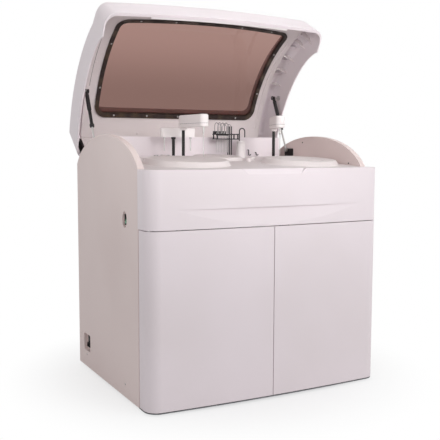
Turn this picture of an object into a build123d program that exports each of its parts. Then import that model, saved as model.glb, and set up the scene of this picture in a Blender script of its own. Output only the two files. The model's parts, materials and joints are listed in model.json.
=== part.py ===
"""Floor-standing clinical chemistry analyzer with a hinged, glazed lid, shown with the lid raised.

Millimetres. +X is the operator's right, +Y points to the back, +Z is up. The origin is on the floor.
"""

from build123d import *
import os
from math import acos, asin, atan2, cos, degrees, hypot, radians, sin, sqrt, tan

os.makedirs("parts", exist_ok=True)

# Cabinet
width = 1020.0
panel_depth = 707.0
seam_y = -358.0
floor_gap = 8.0
body_height = 877.0
side_t = 25.0
front_reach = 98.0
front_bow = 13.0
corner_r = 51.0
sheet_t = 3.0
wing_rise = 128.0
wing_sag = 57.0
wing_overrun = 21.5
edge_r = 2.0

# Doors and fascia
door_seam_height = 660.0
door_t = 16.0
door_skin = 4.0
door_gap = 3.0
door_rail = 26.0
door_ribs = 3
pivot_back = 11.0
pivot_pin_r = 3.0
pivot_depth = 10.0
fascia_t = 25.0
recess_top = 735.0
recess_depth = 10.0
scoop_half = 140.0
scoop_height = 21.0
scoop_depth = 16.0

# Fits
running_fit = 0.05
clear = 0.3

# Lid, in its closed position, measured from the hinge axis
open_angle = 62.0
hinge_from_back = 113.6
hinge_below_rim = 43.4
lid_gap = 4.0
lid_t = 5.0
lid_lip = 21.0
nose_r = 130.0
roof_r = 650.0
rear_top_ahead = 47.4
rear_top_up = 292.4
rear_foot_ahead = 15.4
lid_edge_r = 20.0

# Window, in the liner of the lid
liner_drop = 35.0
liner_shift = 7.0
liner_t = 4.0
liner_inset = 48.0
pane_t = 5.0
gasket_t = 6.0
gasket_band = 17.5
window_half = 411.0
window_front = 285.0
window_rear = 252.0
window_bow_r = 2900.0
window_lean = 13.85
window_corner_r = 50.0
reveal_t = 4.0

# Hinge arms and gas springs
hinge_pin_r = 6.0
arm_t = 8.0
hinge_boss_r = 16.0
spring_x = 475.0
spring_tube_r = 7.0
spring_rod_r = 4.0
spring_stud_r = 4.0
spring_eye_t = 7.0
spring_top_ahead = 282.4
spring_top_up = 238.4
spring_foot_ahead = 40.4
spring_foot_up = 108.4
spring_tube_share = 0.57

# Work deck
deck_slope = 3.7
deck_t = 4.0
deck_run = 556.0
cover_raise = 20.0
react_raise = 14.0
cover_t = 4.0
cover_rim = 14.0
cover_edge_r = 3.0
oval_length = 82.0
oval_width = 34.0
oval_depth = 11.0
oval_t = 2.0
port_r = 8.0
needle_r = 1.5
rotor_clear = 4.0
well_t = 3.0
well_depth = 92.0
well_boss_r = 22.0
well_boss_t = 14.0
spindle_r = 8.0
spindle_depth = 12.0
disc_t = 4.0
stopper_height = 14.0

# Rear cover and hinge wells
splash_height = 88.0
splash_t = 8.0
rear_cover_half = 430.0
rear_cover_t = 4.0
sweep_r = 127.0

half = width / 2
inner_x = half - side_t
back_y = seam_y + panel_depth
base_z = floor_gap
rim_z = base_z + body_height
door_seam_z = base_z + door_seam_height
hinge_y = back_y - hinge_from_back
hinge_z = rim_z - hinge_below_rim
rear_panel_y = back_y - sheet_t
front_y = seam_y - front_reach - front_bow
corner_x = half - corner_r
corner_y = seam_y - front_reach + corner_r
bow_r = ((front_bow + corner_r) ** 2 + corner_x**2 - corner_r**2) / (2 * front_bow)
corner_turn = degrees(asin(corner_x / (bow_r - corner_r)))
opened = radians(open_angle)

lid_side = Plane(origin=(0, hinge_y, hinge_z), x_dir=(0, cos(opened), -sin(opened)), z_dir=(1, 0, 0))
lid_plan = Plane(origin=(0, hinge_y, hinge_z), x_dir=(1, 0, 0), z_dir=(0, sin(opened), cos(opened)))
slope = radians(deck_slope)
deck = Plane(origin=(0, seam_y, rim_z), x_dir=(1, 0, 0), z_dir=(0, -sin(slope), cos(slope)))


def deck_height(y):
    """Height of the sloping deck surface at depth y."""
    return rim_z + (y - seam_y) * tan(slope)


def on_deck(x, y):
    """Deck-plane coordinates of the point that lies on the deck at plan position x, y."""
    return (x, (y - seam_y) / cos(slope))


def circle_meet(a, ra, b, rb, side):
    """Where two circles meet; side +1 or -1 picks the left or right one, seen from a to b."""
    dx, dy = b[0] - a[0], b[1] - a[1]
    span = hypot(dx, dy)
    along = (ra**2 - rb**2 + span**2) / (2 * span)
    across = side * sqrt(ra**2 - along**2)
    ux, uy = dx / span, dy / span
    return (a[0] + along * ux - across * uy, a[1] + along * uy + across * ux)


def front_plan(inset, rear):
    """Plan of the bowed front with its rounded corners, moved in by inset, back to y = rear."""
    with BuildSketch() as plan:
        with BuildLine():
            right = Line((half - inset, rear), (half - inset, corner_y))
            CenterArc((corner_x, corner_y), corner_r - inset, 0, corner_turn - 90)
            CenterArc((0, front_y + bow_r), bow_r - inset, corner_turn - 90, -2 * corner_turn)
            CenterArc((-corner_x, corner_y), corner_r - inset, -90 - corner_turn, corner_turn - 90)
            left = Line((inset - half, corner_y), (inset - half, rear))
            Line(left @ 1, right @ 0)
        make_face()
    return plan.sketch


def ring_plan(outer, inner, rear):
    """Band between two insets of the front plan, ahead of y = rear."""
    with BuildSketch() as plan:
        add(front_plan(outer, rear))
        add(front_plan(inner, rear + 1), mode=Mode.SUBTRACT)
    return plan.sketch


wing_y = seam_y + panel_depth / 2
wing_z = rim_z - wing_sag
wing_a = panel_depth / 2 + wing_overrun
wing_b = wing_rise + wing_sag


def panel_outline():
    """Side panel in its own plane, x to the back and y up, with the arched wing on top."""
    turn = degrees(acos(panel_depth / 2 / wing_a))
    with BuildSketch() as outline:
        with BuildLine():
            top = EllipticalCenterArc((wing_y, wing_z), wing_a, wing_b, turn, arc_size=180 - 2 * turn)
            Polyline(top @ 0, (back_y, base_z), (seam_y, base_z), top @ 1)
        make_face()
    return outline.sketch


# Floor tray
sill_back = 34.0
sill_height = 30.0
with BuildPart() as floor_tray:
    with BuildSketch(Plane.XY.offset(base_z)):
        add(front_plan(1, seam_y - clear))
        with Locations((0, (seam_y + rear_panel_y) / 2 - clear / 2)):
            Rectangle(2 * inner_x, rear_panel_y - seam_y + clear)
    extrude(amount=sheet_t)
    with BuildSketch(Plane.XY.offset(base_z + sheet_t)):
        with Locations((0, seam_y - sill_back)):
            Rectangle(2 * inner_x, sheet_t)
        with Locations((inner_x - sheet_t / 2, 0), (sheet_t / 2 - inner_x, 0)):
            Rectangle(sheet_t, 2 * (rear_panel_y - 1), align=(Align.CENTER, Align.CENTER))
    extrude(amount=sill_height)
    with Locations(*[Pos(s * (half - door_t / 2), seam_y - pivot_back, base_z + sheet_t) for s in (-1, 1)]):
        Cylinder(pivot_pin_r, door_gap + pivot_depth, align=(Align.CENTER, Align.CENTER, Align.MIN))
floor_tray.part.label = "floor_tray"
export_step(floor_tray.part, "parts/floor_tray.step")

# Levelling feet
foot_r = 26.0
foot_stem_r = 8.0
foot_inset = 70.0
with BuildPart() as levelling_feet:
    with Locations(*[Pos(x, y, 0) for x in (foot_inset - half, half - foot_inset)
                     for y in (seam_y, back_y - foot_inset)]):
        Cylinder(foot_r, floor_gap * 0.6, align=(Align.CENTER, Align.CENTER, Align.MIN))
        Cylinder(foot_stem_r, floor_gap, align=(Align.CENTER, Align.CENTER, Align.MIN))
    chamfer(levelling_feet.edges().filter_by(GeomType.CIRCLE).group_by(SortBy.RADIUS)[-1].group_by(Axis.Z)[-1], 2)
levelling_feet.part.label = "levelling_feet"
export_step(levelling_feet.part, "parts/levelling_feet.step")

# Side panels. The left one carries the power switch and the mains inlet.
switch_y, switch_z = seam_y + 131.0, base_z + 686.0
switch_width, switch_height = 46.0, 62.0
rocker_width, rocker_height = 20.0, 30.0
inlet_y, inlet_z = seam_y + 598.0, base_z + 109.0
inlet_width, inlet_height = 84.0, 74.0
cup_depth = 16.0
pin_seat = 15.0

with BuildPart() as left_side_panel:
    with BuildSketch(Plane.YZ.offset(-half)):
        add(panel_outline())
    extrude(amount=side_t)
    chamfer(left_side_panel.faces().sort_by(Axis.X)[0].edges(), edge_r)
    with BuildSketch(Plane.YZ.offset(-half)):
        with Locations((switch_y, switch_z)):
            Ellipse(switch_width / 2, switch_height / 2)
    extrude(amount=cup_depth / 2, mode=Mode.SUBTRACT)
    with BuildSketch(Plane.YZ.offset(-half)):
        with Locations((inlet_y, inlet_z)):
            RectangleRounded(inlet_width, inlet_height, 10)
    extrude(amount=cup_depth, mode=Mode.SUBTRACT)
    with BuildSketch(Plane.YZ.offset(cup_depth / 2 - half)):
        with Locations((switch_y, switch_z)):
            Rectangle(rocker_width + 4, rocker_height + 4)
    extrude(amount=side_t, mode=Mode.SUBTRACT)
    with Locations(Plane(origin=(-inner_x, hinge_y, hinge_z), z_dir=(-1, 0, 0))):
        Cylinder(hinge_pin_r, pin_seat, align=(Align.CENTER, Align.CENTER, Align.MIN), mode=Mode.SUBTRACT)
left_side_panel.part.label = "left_side_panel"
export_step(left_side_panel.part, "parts/left_side_panel.step")

with BuildPart() as right_side_panel:
    with BuildSketch(Plane.YZ.offset(half)):
        add(panel_outline())
    extrude(amount=-side_t)
    chamfer(right_side_panel.faces().sort_by(Axis.X)[-1].edges(), edge_r)
    with Locations(Plane(origin=(inner_x, hinge_y, hinge_z), z_dir=(1, 0, 0))):
        Cylinder(hinge_pin_r, pin_seat, align=(Align.CENTER, Align.CENTER, Align.MIN), mode=Mode.SUBTRACT)
right_side_panel.part.label = "right_side_panel"
export_step(right_side_panel.part, "parts/right_side_panel.step")

# Power switch: a bezel round a rocker that tips about its middle
rocker_tip = 8.0
rocker_t = 7.0
switch_face = Plane(origin=(cup_depth / 2 - half, switch_y, switch_z), x_dir=(0, -1, 0), z_dir=(-1, 0, 0))
with BuildPart() as switch_bezel:
    with BuildSketch(switch_face):
        RectangleRounded(rocker_width + 12, rocker_height + 12, 5)
        Rectangle(rocker_width + 1, rocker_height + 3, mode=Mode.SUBTRACT)
    extrude(amount=2)
    with BuildSketch(switch_face):
        Rectangle(rocker_width + 4, rocker_height + 4)
        Rectangle(rocker_width + 1, rocker_height + 3, mode=Mode.SUBTRACT)
    extrude(amount=-side_t / 2)
    with BuildSketch(switch_face.offset(-side_t / 2)):
        Rectangle(rocker_width + 4, rocker_height + 4)
    extrude(amount=-2)
switch_bezel.part.label = "switch_bezel"
export_step(switch_bezel.part, "parts/switch_bezel.step")

tilt = radians(rocker_tip)
rocker_plane = Plane(origin=(cup_depth / 2 - half, switch_y, switch_z), x_dir=(sin(tilt), 0, cos(tilt)),
                     z_dir=(0, -1, 0))
with BuildPart() as power_rocker:
    with BuildSketch(rocker_plane):
        with BuildLine():
            bow = ThreePointArc((-rocker_height / 2, 3), (0, 0.5), (rocker_height / 2, 3))
            Polyline(bow @ 1, (rocker_height / 2 - 2, -rocker_t), (2 - rocker_height / 2, -rocker_t), bow @ 0)
        make_face()
    extrude(amount=rocker_width / 2, both=True)
    with Locations(Plane(origin=(cup_depth / 2 - half + rocker_t / 2, switch_y, switch_z), z_dir=(0, 1, 0))):
        Cylinder(1.5, rocker_width + 1 - 2 * running_fit)
power_rocker.part.label = "power_rocker"
export_step(power_rocker.part, "parts/power_rocker.step")

# Mains inlet in the lower recess
with BuildPart() as mains_inlet:
    inlet_face = Plane(origin=(cup_depth - half, inlet_y, inlet_z), x_dir=(0, -1, 0), z_dir=(-1, 0, 0))
    with BuildSketch(inlet_face):
        RectangleRounded(50, 54, 3)
    extrude(amount=3)
    with BuildSketch(inlet_face.offset(3)):
        with Locations((0, -10)):
            RectangleRounded(27, 20, 4)
    extrude(amount=9)
    with BuildSketch(inlet_face.offset(12)):
        with Locations((0, -10)):
            RectangleRounded(24, 16.5, 3)
    extrude(amount=-8, mode=Mode.SUBTRACT)
    with BuildSketch(inlet_face.offset(4)):
        with Locations((-7, -10), (0, -7), (7, -10)):
            Rectangle(2, 4)
    extrude(amount=6)
    with BuildSketch(inlet_face.offset(3)):
        with Locations((0, 14)):
            Rectangle(26, 14)
    extrude(amount=3)
mains_inlet.part.label = "mains_inlet"
export_step(mains_inlet.part, "parts/mains_inlet.step")

# Rear panel with two fields of vent slots
slot_length, slot_height, slot_pitch = 150.0, 6.0, 16.0
with BuildPart() as rear_panel:
    with BuildSketch(Plane.XZ.offset(-rear_panel_y)):
        with Locations((0, base_z)):
            Rectangle(2 * inner_x, body_height - deck_t, align=(Align.CENTER, Align.MIN))
        with Locations((-inner_x / 2, base_z + body_height * 0.62), (inner_x / 2, base_z + body_height * 0.62)):
            with GridLocations(1, slot_pitch, 1, 8):
                SlotOverall(slot_length, slot_height, mode=Mode.SUBTRACT)
    extrude(amount=-sheet_t)
rear_panel.part.label = "rear_panel"
export_step(rear_panel.part, "parts/rear_panel.step")

# Front fascia: a wrapped band with an undercut step along it and a finger scoop under the lid
scoop_lean = 25.0
with BuildPart() as scoop_cut:
    with BuildSketch(Plane.XZ.offset(-front_y + 20)):
        with BuildLine():
            Polyline((-scoop_half, rim_z + 1), (scoop_half, rim_z + 1),
                     (scoop_half - scoop_lean, rim_z - scoop_height),
                     (scoop_lean - scoop_half, rim_z - scoop_height), close=True)
        make_face()
    extrude(amount=-20 - scoop_depth)
    with BuildSketch(Plane.YZ):
        with BuildLine():
            Polyline((front_y, rim_z - scoop_height), (front_y + scoop_depth, rim_z + 1),
                     (front_y - 30, rim_z + 1), (front_y - 30, rim_z - scoop_height), close=True)
        make_face()
    extrude(amount=scoop_half + 1, both=True, mode=Mode.INTERSECT)

with BuildPart() as front_fascia:
    with BuildSketch(Plane.XY.offset(door_seam_z + door_gap)):
        add(ring_plan(0, fascia_t, seam_y))
    extrude(amount=rim_z - door_seam_z - door_gap)
    with BuildSketch(Plane.YZ):
        with BuildLine():
            step_z = base_z + recess_top
            foot_y = front_y - 1
            Polyline((front_y + recess_depth, step_z), (foot_y, door_seam_z + door_gap),
                     (front_y - 30, door_seam_z + door_gap), (front_y - 30, step_z), close=True)
        make_face()
    extrude(amount=half, both=True, mode=Mode.SUBTRACT)
    add(scoop_cut.part, mode=Mode.SUBTRACT)
    with BuildSketch(Plane.XY.offset(door_seam_z + door_gap)):
        with Locations(*[(s * (half - door_t - 8), seam_y - pivot_back - 8) for s in (-1, 1)]):
            Rectangle(2 * door_t, 34)
        add(front_plan(0, seam_y), mode=Mode.INTERSECT)
    extrude(amount=door_t)
    with Locations(*[Pos(s * (half - door_t / 2), seam_y - pivot_back, door_seam_z + door_gap) for s in (-1, 1)]):
        Cylinder(pivot_pin_r, door_gap + pivot_depth, align=(Align.CENTER, Align.CENTER, Align.MAX))
front_fascia.part.label = "front_fascia"
export_step(front_fascia.part, "parts/front_fascia.step")

# Doors: bowed pans with ribbed pockets inside, turning on pins at the side panels
door_bottom = base_z + sheet_t + door_gap
door_height = door_seam_z - door_bottom


def door_pan(side):
    """Door leaf on one side: -1 left, +1 right."""
    pivot_x, pivot_y = side * (half - door_t / 2), seam_y - pivot_back
    pocket_height = (door_height - door_rail * (door_ribs + 1)) / door_ribs
    pocket_in = door_gap / 2 + door_rail
    reach = half - door_gap / 2
    with BuildPart() as leaf:
        with BuildSketch(Plane.XY.offset(door_bottom)):
            add(ring_plan(0, door_t, pivot_y))
            with Locations((side * (door_gap / 2 + reach / 2), seam_y - front_reach)):
                Rectangle(reach, 4 * front_reach, mode=Mode.INTERSECT)
            with Locations((pivot_x, pivot_y)):
                Circle(door_t / 2)
        extrude(amount=door_height)
        for row in range(door_ribs):
            pocket_z = door_bottom + door_rail + row * (door_rail + pocket_height)
            with BuildSketch(Plane.XY.offset(pocket_z)):
                add(ring_plan(door_skin, door_t + 1, seam_y - pivot_back))
                with Locations((side * (pocket_in + half - corner_r) / 2, seam_y - front_reach)):
                    Rectangle(half - corner_r - pocket_in, 4 * front_reach, mode=Mode.INTERSECT)
            extrude(amount=pocket_height, mode=Mode.SUBTRACT)
        for face_z, way in ((door_bottom, Align.MIN), (door_seam_z, Align.MAX)):
            with Locations((pivot_x, pivot_y, face_z)):
                Cylinder(pivot_pin_r + running_fit, pivot_depth + 1, align=(Align.CENTER, Align.CENTER, way),
                         mode=Mode.SUBTRACT)
    return leaf.part


with BuildPart() as left_door:
    add(door_pan(-1))
left_door.part.label = "left_door"
export_step(left_door.part, "parts/left_door.step")

with BuildPart() as right_door:
    add(door_pan(1))
right_door.part.label = "right_door"
export_step(right_door.part, "parts/right_door.step")

# Work deck: a ledge behind the fascia, then a sheet that rises to the back, with its wells cut out
sample_x, sample_y, sample_r = -220.0, seam_y + 200.0, 177.0
reagent_x, reagent_y, reagent_r = 300.0, seam_y + 175.0, 165.0
react_x, react_y, react_r = 30.0, seam_y + 418.0, 115.0
deck_back = seam_y + deck_run
wells = {
    "sample": (on_deck(sample_x, sample_y), sample_r),
    "reagent": (on_deck(reagent_x, reagent_y), reagent_r),
    "react": (on_deck(react_x, react_y), react_r),
}
well_inset = 16.0
front_column = (-150.0, seam_y + 380.0)
right_column = (277.0, seam_y + 350.0)
mixer_column = (-164.0, seam_y + 450.0)
column_r = 6.5
bearing_r = 10.0

with BuildPart() as work_deck:
    with BuildSketch(Plane.YZ):
        with BuildLine():
            slope_end = deck_height(deck_back)
            Polyline((front_y, rim_z), (seam_y, rim_z), (deck_back, slope_end), (deck_back, slope_end - deck_t),
                     (seam_y, rim_z - deck_t), (front_y, rim_z - deck_t), close=True)
        make_face()
    extrude(amount=inner_x, both=True)
    with BuildSketch(Plane.XY.offset(rim_z - 3 * deck_t)):
        add(front_plan(fascia_t, deck_back))
    extrude(amount=body_height, mode=Mode.INTERSECT)
    for centre, radius in wells.values():
        with BuildSketch(deck):
            with Locations(centre):
                Circle(radius - well_inset)
        extrude(amount=2 * deck_t, both=True, mode=Mode.SUBTRACT)
    for spot in (front_column, right_column, mixer_column):
        with Locations((spot[0], spot[1], deck_height(spot[1]))):
            Cylinder(bearing_r - 2, 8 * deck_t, mode=Mode.SUBTRACT)
work_deck.part.label = "work_deck"
export_step(work_deck.part, "parts/work_deck.step")


def well_bowl(centre, radius):
    """Open bowl that hangs under the deck opening, with a bearing bore in its floor."""
    bore_r = radius - well_inset
    with BuildPart() as bowl:
        with BuildSketch(deck.offset(-deck_t)):
            with Locations(centre):
                Circle(bore_r + well_t)
        extrude(amount=-well_depth)
        with BuildSketch(deck.offset(-deck_t)):
            with Locations(centre):
                Circle(bore_r)
        extrude(amount=well_t - well_depth, mode=Mode.SUBTRACT)
        with BuildSketch(deck.offset(-deck_t - well_depth)):
            with Locations(centre):
                Circle(well_boss_r)
        extrude(amount=-well_boss_t)
        with BuildSketch(deck.offset(-deck_t - well_depth - well_boss_t)):
            with Locations(centre):
                Circle(spindle_r + running_fit)
        extrude(amount=well_depth / 2, mode=Mode.SUBTRACT)
    return bowl.part


with BuildPart() as sample_well:
    add(well_bowl(*wells["sample"]))
sample_well.part.label = "sample_well"
export_step(sample_well.part, "parts/sample_well.step")

with BuildPart() as reagent_well:
    add(well_bowl(*wells["reagent"]))
reagent_well.part.label = "reagent_well"
export_step(reagent_well.part, "parts/reagent_well.step")

with BuildPart() as reaction_well:
    add(well_bowl(*wells["react"]))
reaction_well.part.label = "reaction_well"
export_step(reaction_well.part, "parts/reaction_well.step")


def rotor(centre, radius, pots, pot_r, pot_height):
    """Carousel: a spindle, a hub, a disc and one ring of stoppered vessels standing on it."""
    disc_r = radius - well_inset - rotor_clear
    seat = deck.offset(well_t - deck_t - well_depth + 2 * clear)
    ring_r = disc_r - pot_r - rotor_clear
    with BuildPart() as carousel:
        with BuildSketch(seat):
            with Locations(centre):
                Circle(spindle_r)
        extrude(amount=-well_t - spindle_depth)
        with BuildSketch(seat):
            with Locations(centre):
                Circle(disc_r)
        extrude(amount=disc_t)
        with BuildSketch(seat.offset(disc_t)):
            with Locations(centre):
                Circle(2 * spindle_r)
        extrude(amount=pot_height)
        with BuildSketch(seat.offset(disc_t)):
            with Locations(Pos(*centre)):
                with PolarLocations(ring_r, pots):
                    Circle(pot_r)
        extrude(amount=pot_height - stopper_height)
        with BuildSketch(seat.offset(disc_t + pot_height - stopper_height)):
            with Locations(Pos(*centre)):
                with PolarLocations(ring_r, pots):
                    Circle(0.7 * pot_r)
        extrude(amount=stopper_height)
    return carousel.part


with BuildPart() as sample_rotor:
    add(rotor(*wells["sample"], 16, 13, 70))
sample_rotor.part.label = "sample_rotor"
export_step(sample_rotor.part, "parts/sample_rotor.step")

with BuildPart() as reagent_rotor:
    add(rotor(*wells["reagent"], 14, 14, 70))
reagent_rotor.part.label = "reagent_rotor"
export_step(reagent_rotor.part, "parts/reagent_rotor.step")

with BuildPart() as reaction_rotor:
    add(rotor(*wells["react"], 24, 5, 60))
reaction_rotor.part.label = "reaction_rotor"
export_step(reaction_rotor.part, "parts/reaction_rotor.step")


def disc_cover(centre, radius, height, ovals, ports):
    """Shallow lid with a sloped rim, finger ovals sunk in its top and ports for the needles."""
    top = deck.offset(height)
    with BuildPart() as cover:
        with BuildSketch(deck):
            with Locations(centre):
                Circle(radius)
        with BuildSketch(top):
            with Locations(centre):
                Circle(radius - cover_rim)
        loft(ruled=True)
        fillet(cover.faces().sort_by(Axis((0, 0, 0), deck.z_dir))[-1].edges(), cover_edge_r)
        with BuildSketch(deck):
            with Locations(centre):
                Circle(radius - 2 * cover_t)
        with BuildSketch(deck.offset(height - cover_t)):
            with Locations(centre):
                Circle(radius - cover_rim - cover_t)
        loft(ruled=True, mode=Mode.SUBTRACT)
        for x, y, length, turn in ovals:
            spot = Location((x, y, 0), (0, 0, turn))
            with BuildSketch(top):
                with Locations(spot):
                    SlotOverall(length, oval_width)
            extrude(amount=-oval_depth - oval_t)
            with BuildSketch(top):
                with Locations(spot):
                    SlotOverall(length - 2 * oval_t, oval_width - 2 * oval_t)
            extrude(amount=-oval_depth, mode=Mode.SUBTRACT)
        with BuildSketch(top):
            with Locations(*[Pos(*port) for port in ports]):
                Circle(port_r)
        extrude(amount=-2 * cover_t, mode=Mode.SUBTRACT)
    return cover.part


# Where the needles stand at rest, and where they dip through the cover of the reaction disc
arm_reach = 180.0
front_needle = (front_column[0] + 5, front_column[1] - arm_reach)
right_needle = (right_column[0] - 67, right_column[1] - 158)
front_swing, right_swing = radians(73), radians(82)


def swung(column, tip, turn):
    """Where an arm's tip stands once the arm has turned about its column."""
    x, y = tip[0] - column[0], tip[1] - column[1]
    return (column[0] + x * cos(turn) - y * sin(turn), column[1] + x * sin(turn) + y * cos(turn))


mixer_stems = (-43.0, 81.0)
sample_ovals = [(sample_x - 70, on_deck(0, sample_y - 110)[1], oval_length, 12)]
reagent_ovals = [(reagent_x + 10, on_deck(0, reagent_y - 100)[1], oval_length, -5)]
with BuildPart() as sample_cover:
    add(disc_cover(*wells["sample"], cover_raise, sample_ovals, [on_deck(*front_needle)]))
sample_cover.part.label = "sample_cover"
export_step(sample_cover.part, "parts/sample_cover.step")

with BuildPart() as reagent_cover:
    add(disc_cover(*wells["reagent"], cover_raise, reagent_ovals, [on_deck(*right_needle)]))
reagent_cover.part.label = "reagent_cover"
export_step(reagent_cover.part, "parts/reagent_cover.step")

react_ovals = [(react_x + shift, on_deck(0, react_y - 8)[1], 0.54 * oval_length, 0) for shift in (-36, 36)]
front_port = swung(front_column, front_needle, front_swing)
right_port = swung(right_column, right_needle, -right_swing)
with BuildPart() as reaction_cover:
    add(disc_cover(*wells["react"], react_raise, react_ovals, [on_deck(*front_port), on_deck(*right_port)]))
reaction_cover.part.label = "reaction_cover"
export_step(reaction_cover.part, "parts/reaction_cover.step")

# Sliding columns in their bearings, with the arm housings and needles they carry
arm_bottom = base_z + 1038.0
arm_height = 50.0
arm_width = 38.0
column_reach = 110.0
bearing_up, bearing_down = 6.0, 22.0
up = (Align.CENTER, Align.CENTER, Align.MIN)

with BuildPart() as arm_bearings:
    for x, y in (front_column, right_column, mixer_column):
        with Locations((x, y, deck_height(y - bearing_r) - deck_t - bearing_down)):
            Cylinder(bearing_r - 2 - clear, deck_t + bearing_down, align=up)
        with Locations((x, y, deck_height(y + bearing_r))):
            Cylinder(bearing_r, bearing_up, align=up)
            Cylinder(bearing_r - 2 - clear, 4 * deck_t, align=(Align.CENTER, Align.CENTER, Align.MAX))
        with Locations((x, y, rim_z)):
            Cylinder(column_r + running_fit, body_height / 4, mode=Mode.SUBTRACT)
arm_bearings.part.label = "arm_bearings"
export_step(arm_bearings.part, "parts/arm_bearings.step")


def column_rod(spot, top):
    """Bright column that slides and turns in its bearing, up to the housing it carries."""
    foot = deck_height(spot[1]) - column_reach
    with BuildPart() as rod:
        with Locations((spot[0], spot[1], foot)):
            Cylinder(column_r, top - foot, align=up)
        chamfer(rod.faces().sort_by(Axis.Z)[0].edges(), 1)
        with Locations((spot[0], spot[1], top - 9)):
            Cylinder(column_r + 3, 9, align=up)
    return rod.part


with BuildPart() as front_arm_column:
    add(column_rod(front_column, arm_bottom))
front_arm_column.part.label = "front_arm_column"
export_step(front_arm_column.part, "parts/front_arm_column.step")

with BuildPart() as right_arm_column:
    add(column_rod(right_column, arm_bottom))
right_arm_column.part.label = "right_arm_column"
export_step(right_arm_column.part, "parts/right_arm_column.step")


def arm_housing(spot, tip):
    """Slim housing over a column and its needle, rounded at both ends and along its top."""
    reach = hypot(tip[0] - spot[0], tip[1] - spot[1])
    heading = degrees(atan2(tip[1] - spot[1], tip[0] - spot[0]))
    middle = ((spot[0] + tip[0]) / 2, (spot[1] + tip[1]) / 2)
    with BuildPart() as housing:
        with BuildSketch(Plane.XY.offset(arm_bottom)):
            with Locations(Location((*middle, 0), (0, 0, heading))):
                SlotOverall(reach + arm_width, arm_width)
        extrude(amount=arm_height)
        fillet(housing.faces().sort_by(Axis.Z)[-1].edges(), 8)
        chamfer(housing.faces().sort_by(Axis.Z)[0].edges(), 2)
    return housing.part


with BuildPart() as front_arm:
    add(arm_housing(front_column, front_needle))
front_arm.part.label = "front_arm"
export_step(front_arm.part, "parts/front_arm.step")

with BuildPart() as right_arm:
    add(arm_housing(right_column, right_needle))
right_arm.part.label = "right_arm"
export_step(right_arm.part, "parts/right_arm.step")

needle_clear = 2.0
needle_taper = 8.0
sleeve_r, sleeve_length, sleeve_taper = 4.0, 24.0, 6.0


def needle(spot, port):
    """Steel needle with a guide sleeve and a tapered tip, hung so that it clears its port in the reaction cover."""
    tip_z = deck_height(port[1] + port_r) + react_raise + needle_clear
    with BuildPart() as probe:
        with Locations((*spot, tip_z)):
            Cone(needle_r / 4, needle_r, needle_taper, align=up)
        with Locations((*spot, tip_z + needle_taper)):
            Cylinder(needle_r, arm_bottom - tip_z - needle_taper, align=up)
        with Locations((*spot, arm_bottom - sleeve_length)):
            Cylinder(sleeve_r, sleeve_length, align=up)
        with Locations((*spot, arm_bottom - sleeve_length - sleeve_taper)):
            Cone(needle_r, sleeve_r, sleeve_taper, align=up)
    return probe.part


with BuildPart() as front_probe:
    add(needle(front_needle, front_port))
front_probe.part.label = "front_probe"
export_step(front_probe.part, "parts/front_probe.step")

with BuildPart() as right_probe:
    add(needle(right_needle, right_port))
right_probe.part.label = "right_probe"
export_step(right_probe.part, "parts/right_probe.step")

# Mixer: a bar on a column with two turning paddles
mixer_bottom = base_z + 998.0
mixer_height = 39.0
mixer_width = 26.0
mixer_end = 18.0
stem_r = 2.5
stem_tip = base_z + 940.0
with BuildPart() as mixer_column_rod:
    add(column_rod(mixer_column, mixer_bottom))
mixer_column_rod.part.label = "mixer_column"
export_step(mixer_column_rod.part, "parts/mixer_column.step")

with BuildPart() as mixer_bar:
    with BuildSketch(Plane.XY.offset(mixer_bottom)):
        with Locations((mixer_column[0] + sum(mixer_stems) / 2, mixer_column[1])):
            RectangleRounded(mixer_stems[1] - mixer_stems[0] + 2 * mixer_end, mixer_width, 9)
    extrude(amount=mixer_height)
    fillet(mixer_bar.faces().sort_by(Axis.Z)[-1].edges(), 5)
    for offset_x in mixer_stems:
        with Locations((mixer_column[0] + offset_x, mixer_column[1], mixer_bottom)):
            Cylinder(stem_r + running_fit, 2 * 20, mode=Mode.SUBTRACT)
mixer_bar.part.label = "mixer_bar"
export_step(mixer_bar.part, "parts/mixer_bar.step")


def paddle(offset_x):
    """Stirring stem with a flat blade at its foot."""
    x, y = mixer_column[0] + offset_x, mixer_column[1]
    with BuildPart() as stirrer:
        with Locations((x, y, stem_tip + 16)):
            Cylinder(stem_r, mixer_bottom + 18 - stem_tip - 16, align=up)
        with Locations((x, y, mixer_bottom - 6)):
            Cylinder(stem_r + 3, 5, align=up)
        with BuildSketch(Plane.XZ.offset(-y - 0.8)):
            with Locations((x, stem_tip + 10)):
                RectangleRounded(5, 20, 1.5)
        extrude(amount=1.6)
    return stirrer.part


with BuildPart() as left_paddle:
    add(paddle(mixer_stems[0]))
left_paddle.part.label = "left_paddle"
export_step(left_paddle.part, "parts/left_paddle.step")

with BuildPart() as right_paddle:
    add(paddle(mixer_stems[1]))
right_paddle.part.label = "right_paddle"
export_step(right_paddle.part, "parts/right_paddle.step")

# Wash station: rods and a tower on the deck, and a head that slides on the rods
rod_x, rod_y, rod_pitch, rod_r = 140.0, seam_y + 505.0, 9.0, 2.5
plate_left, plate_right = 58.0, 175.0
plate_front, plate_rear = seam_y + 470.0, seam_y + 522.0
plate_t = 4.0
plate_low, plate_high = base_z + 990.0, base_z + 1011.0
tower_x, tower_y, tower_r = 196.0, seam_y + 502.0, 20.0
tower_top = base_z + 983.0
needle_x, needle_y = 92.0, seam_y + 486.0
wash_pitch_x, wash_pitch_y = 16.0, 14.0
wash_needle_r = 1.2

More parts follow.
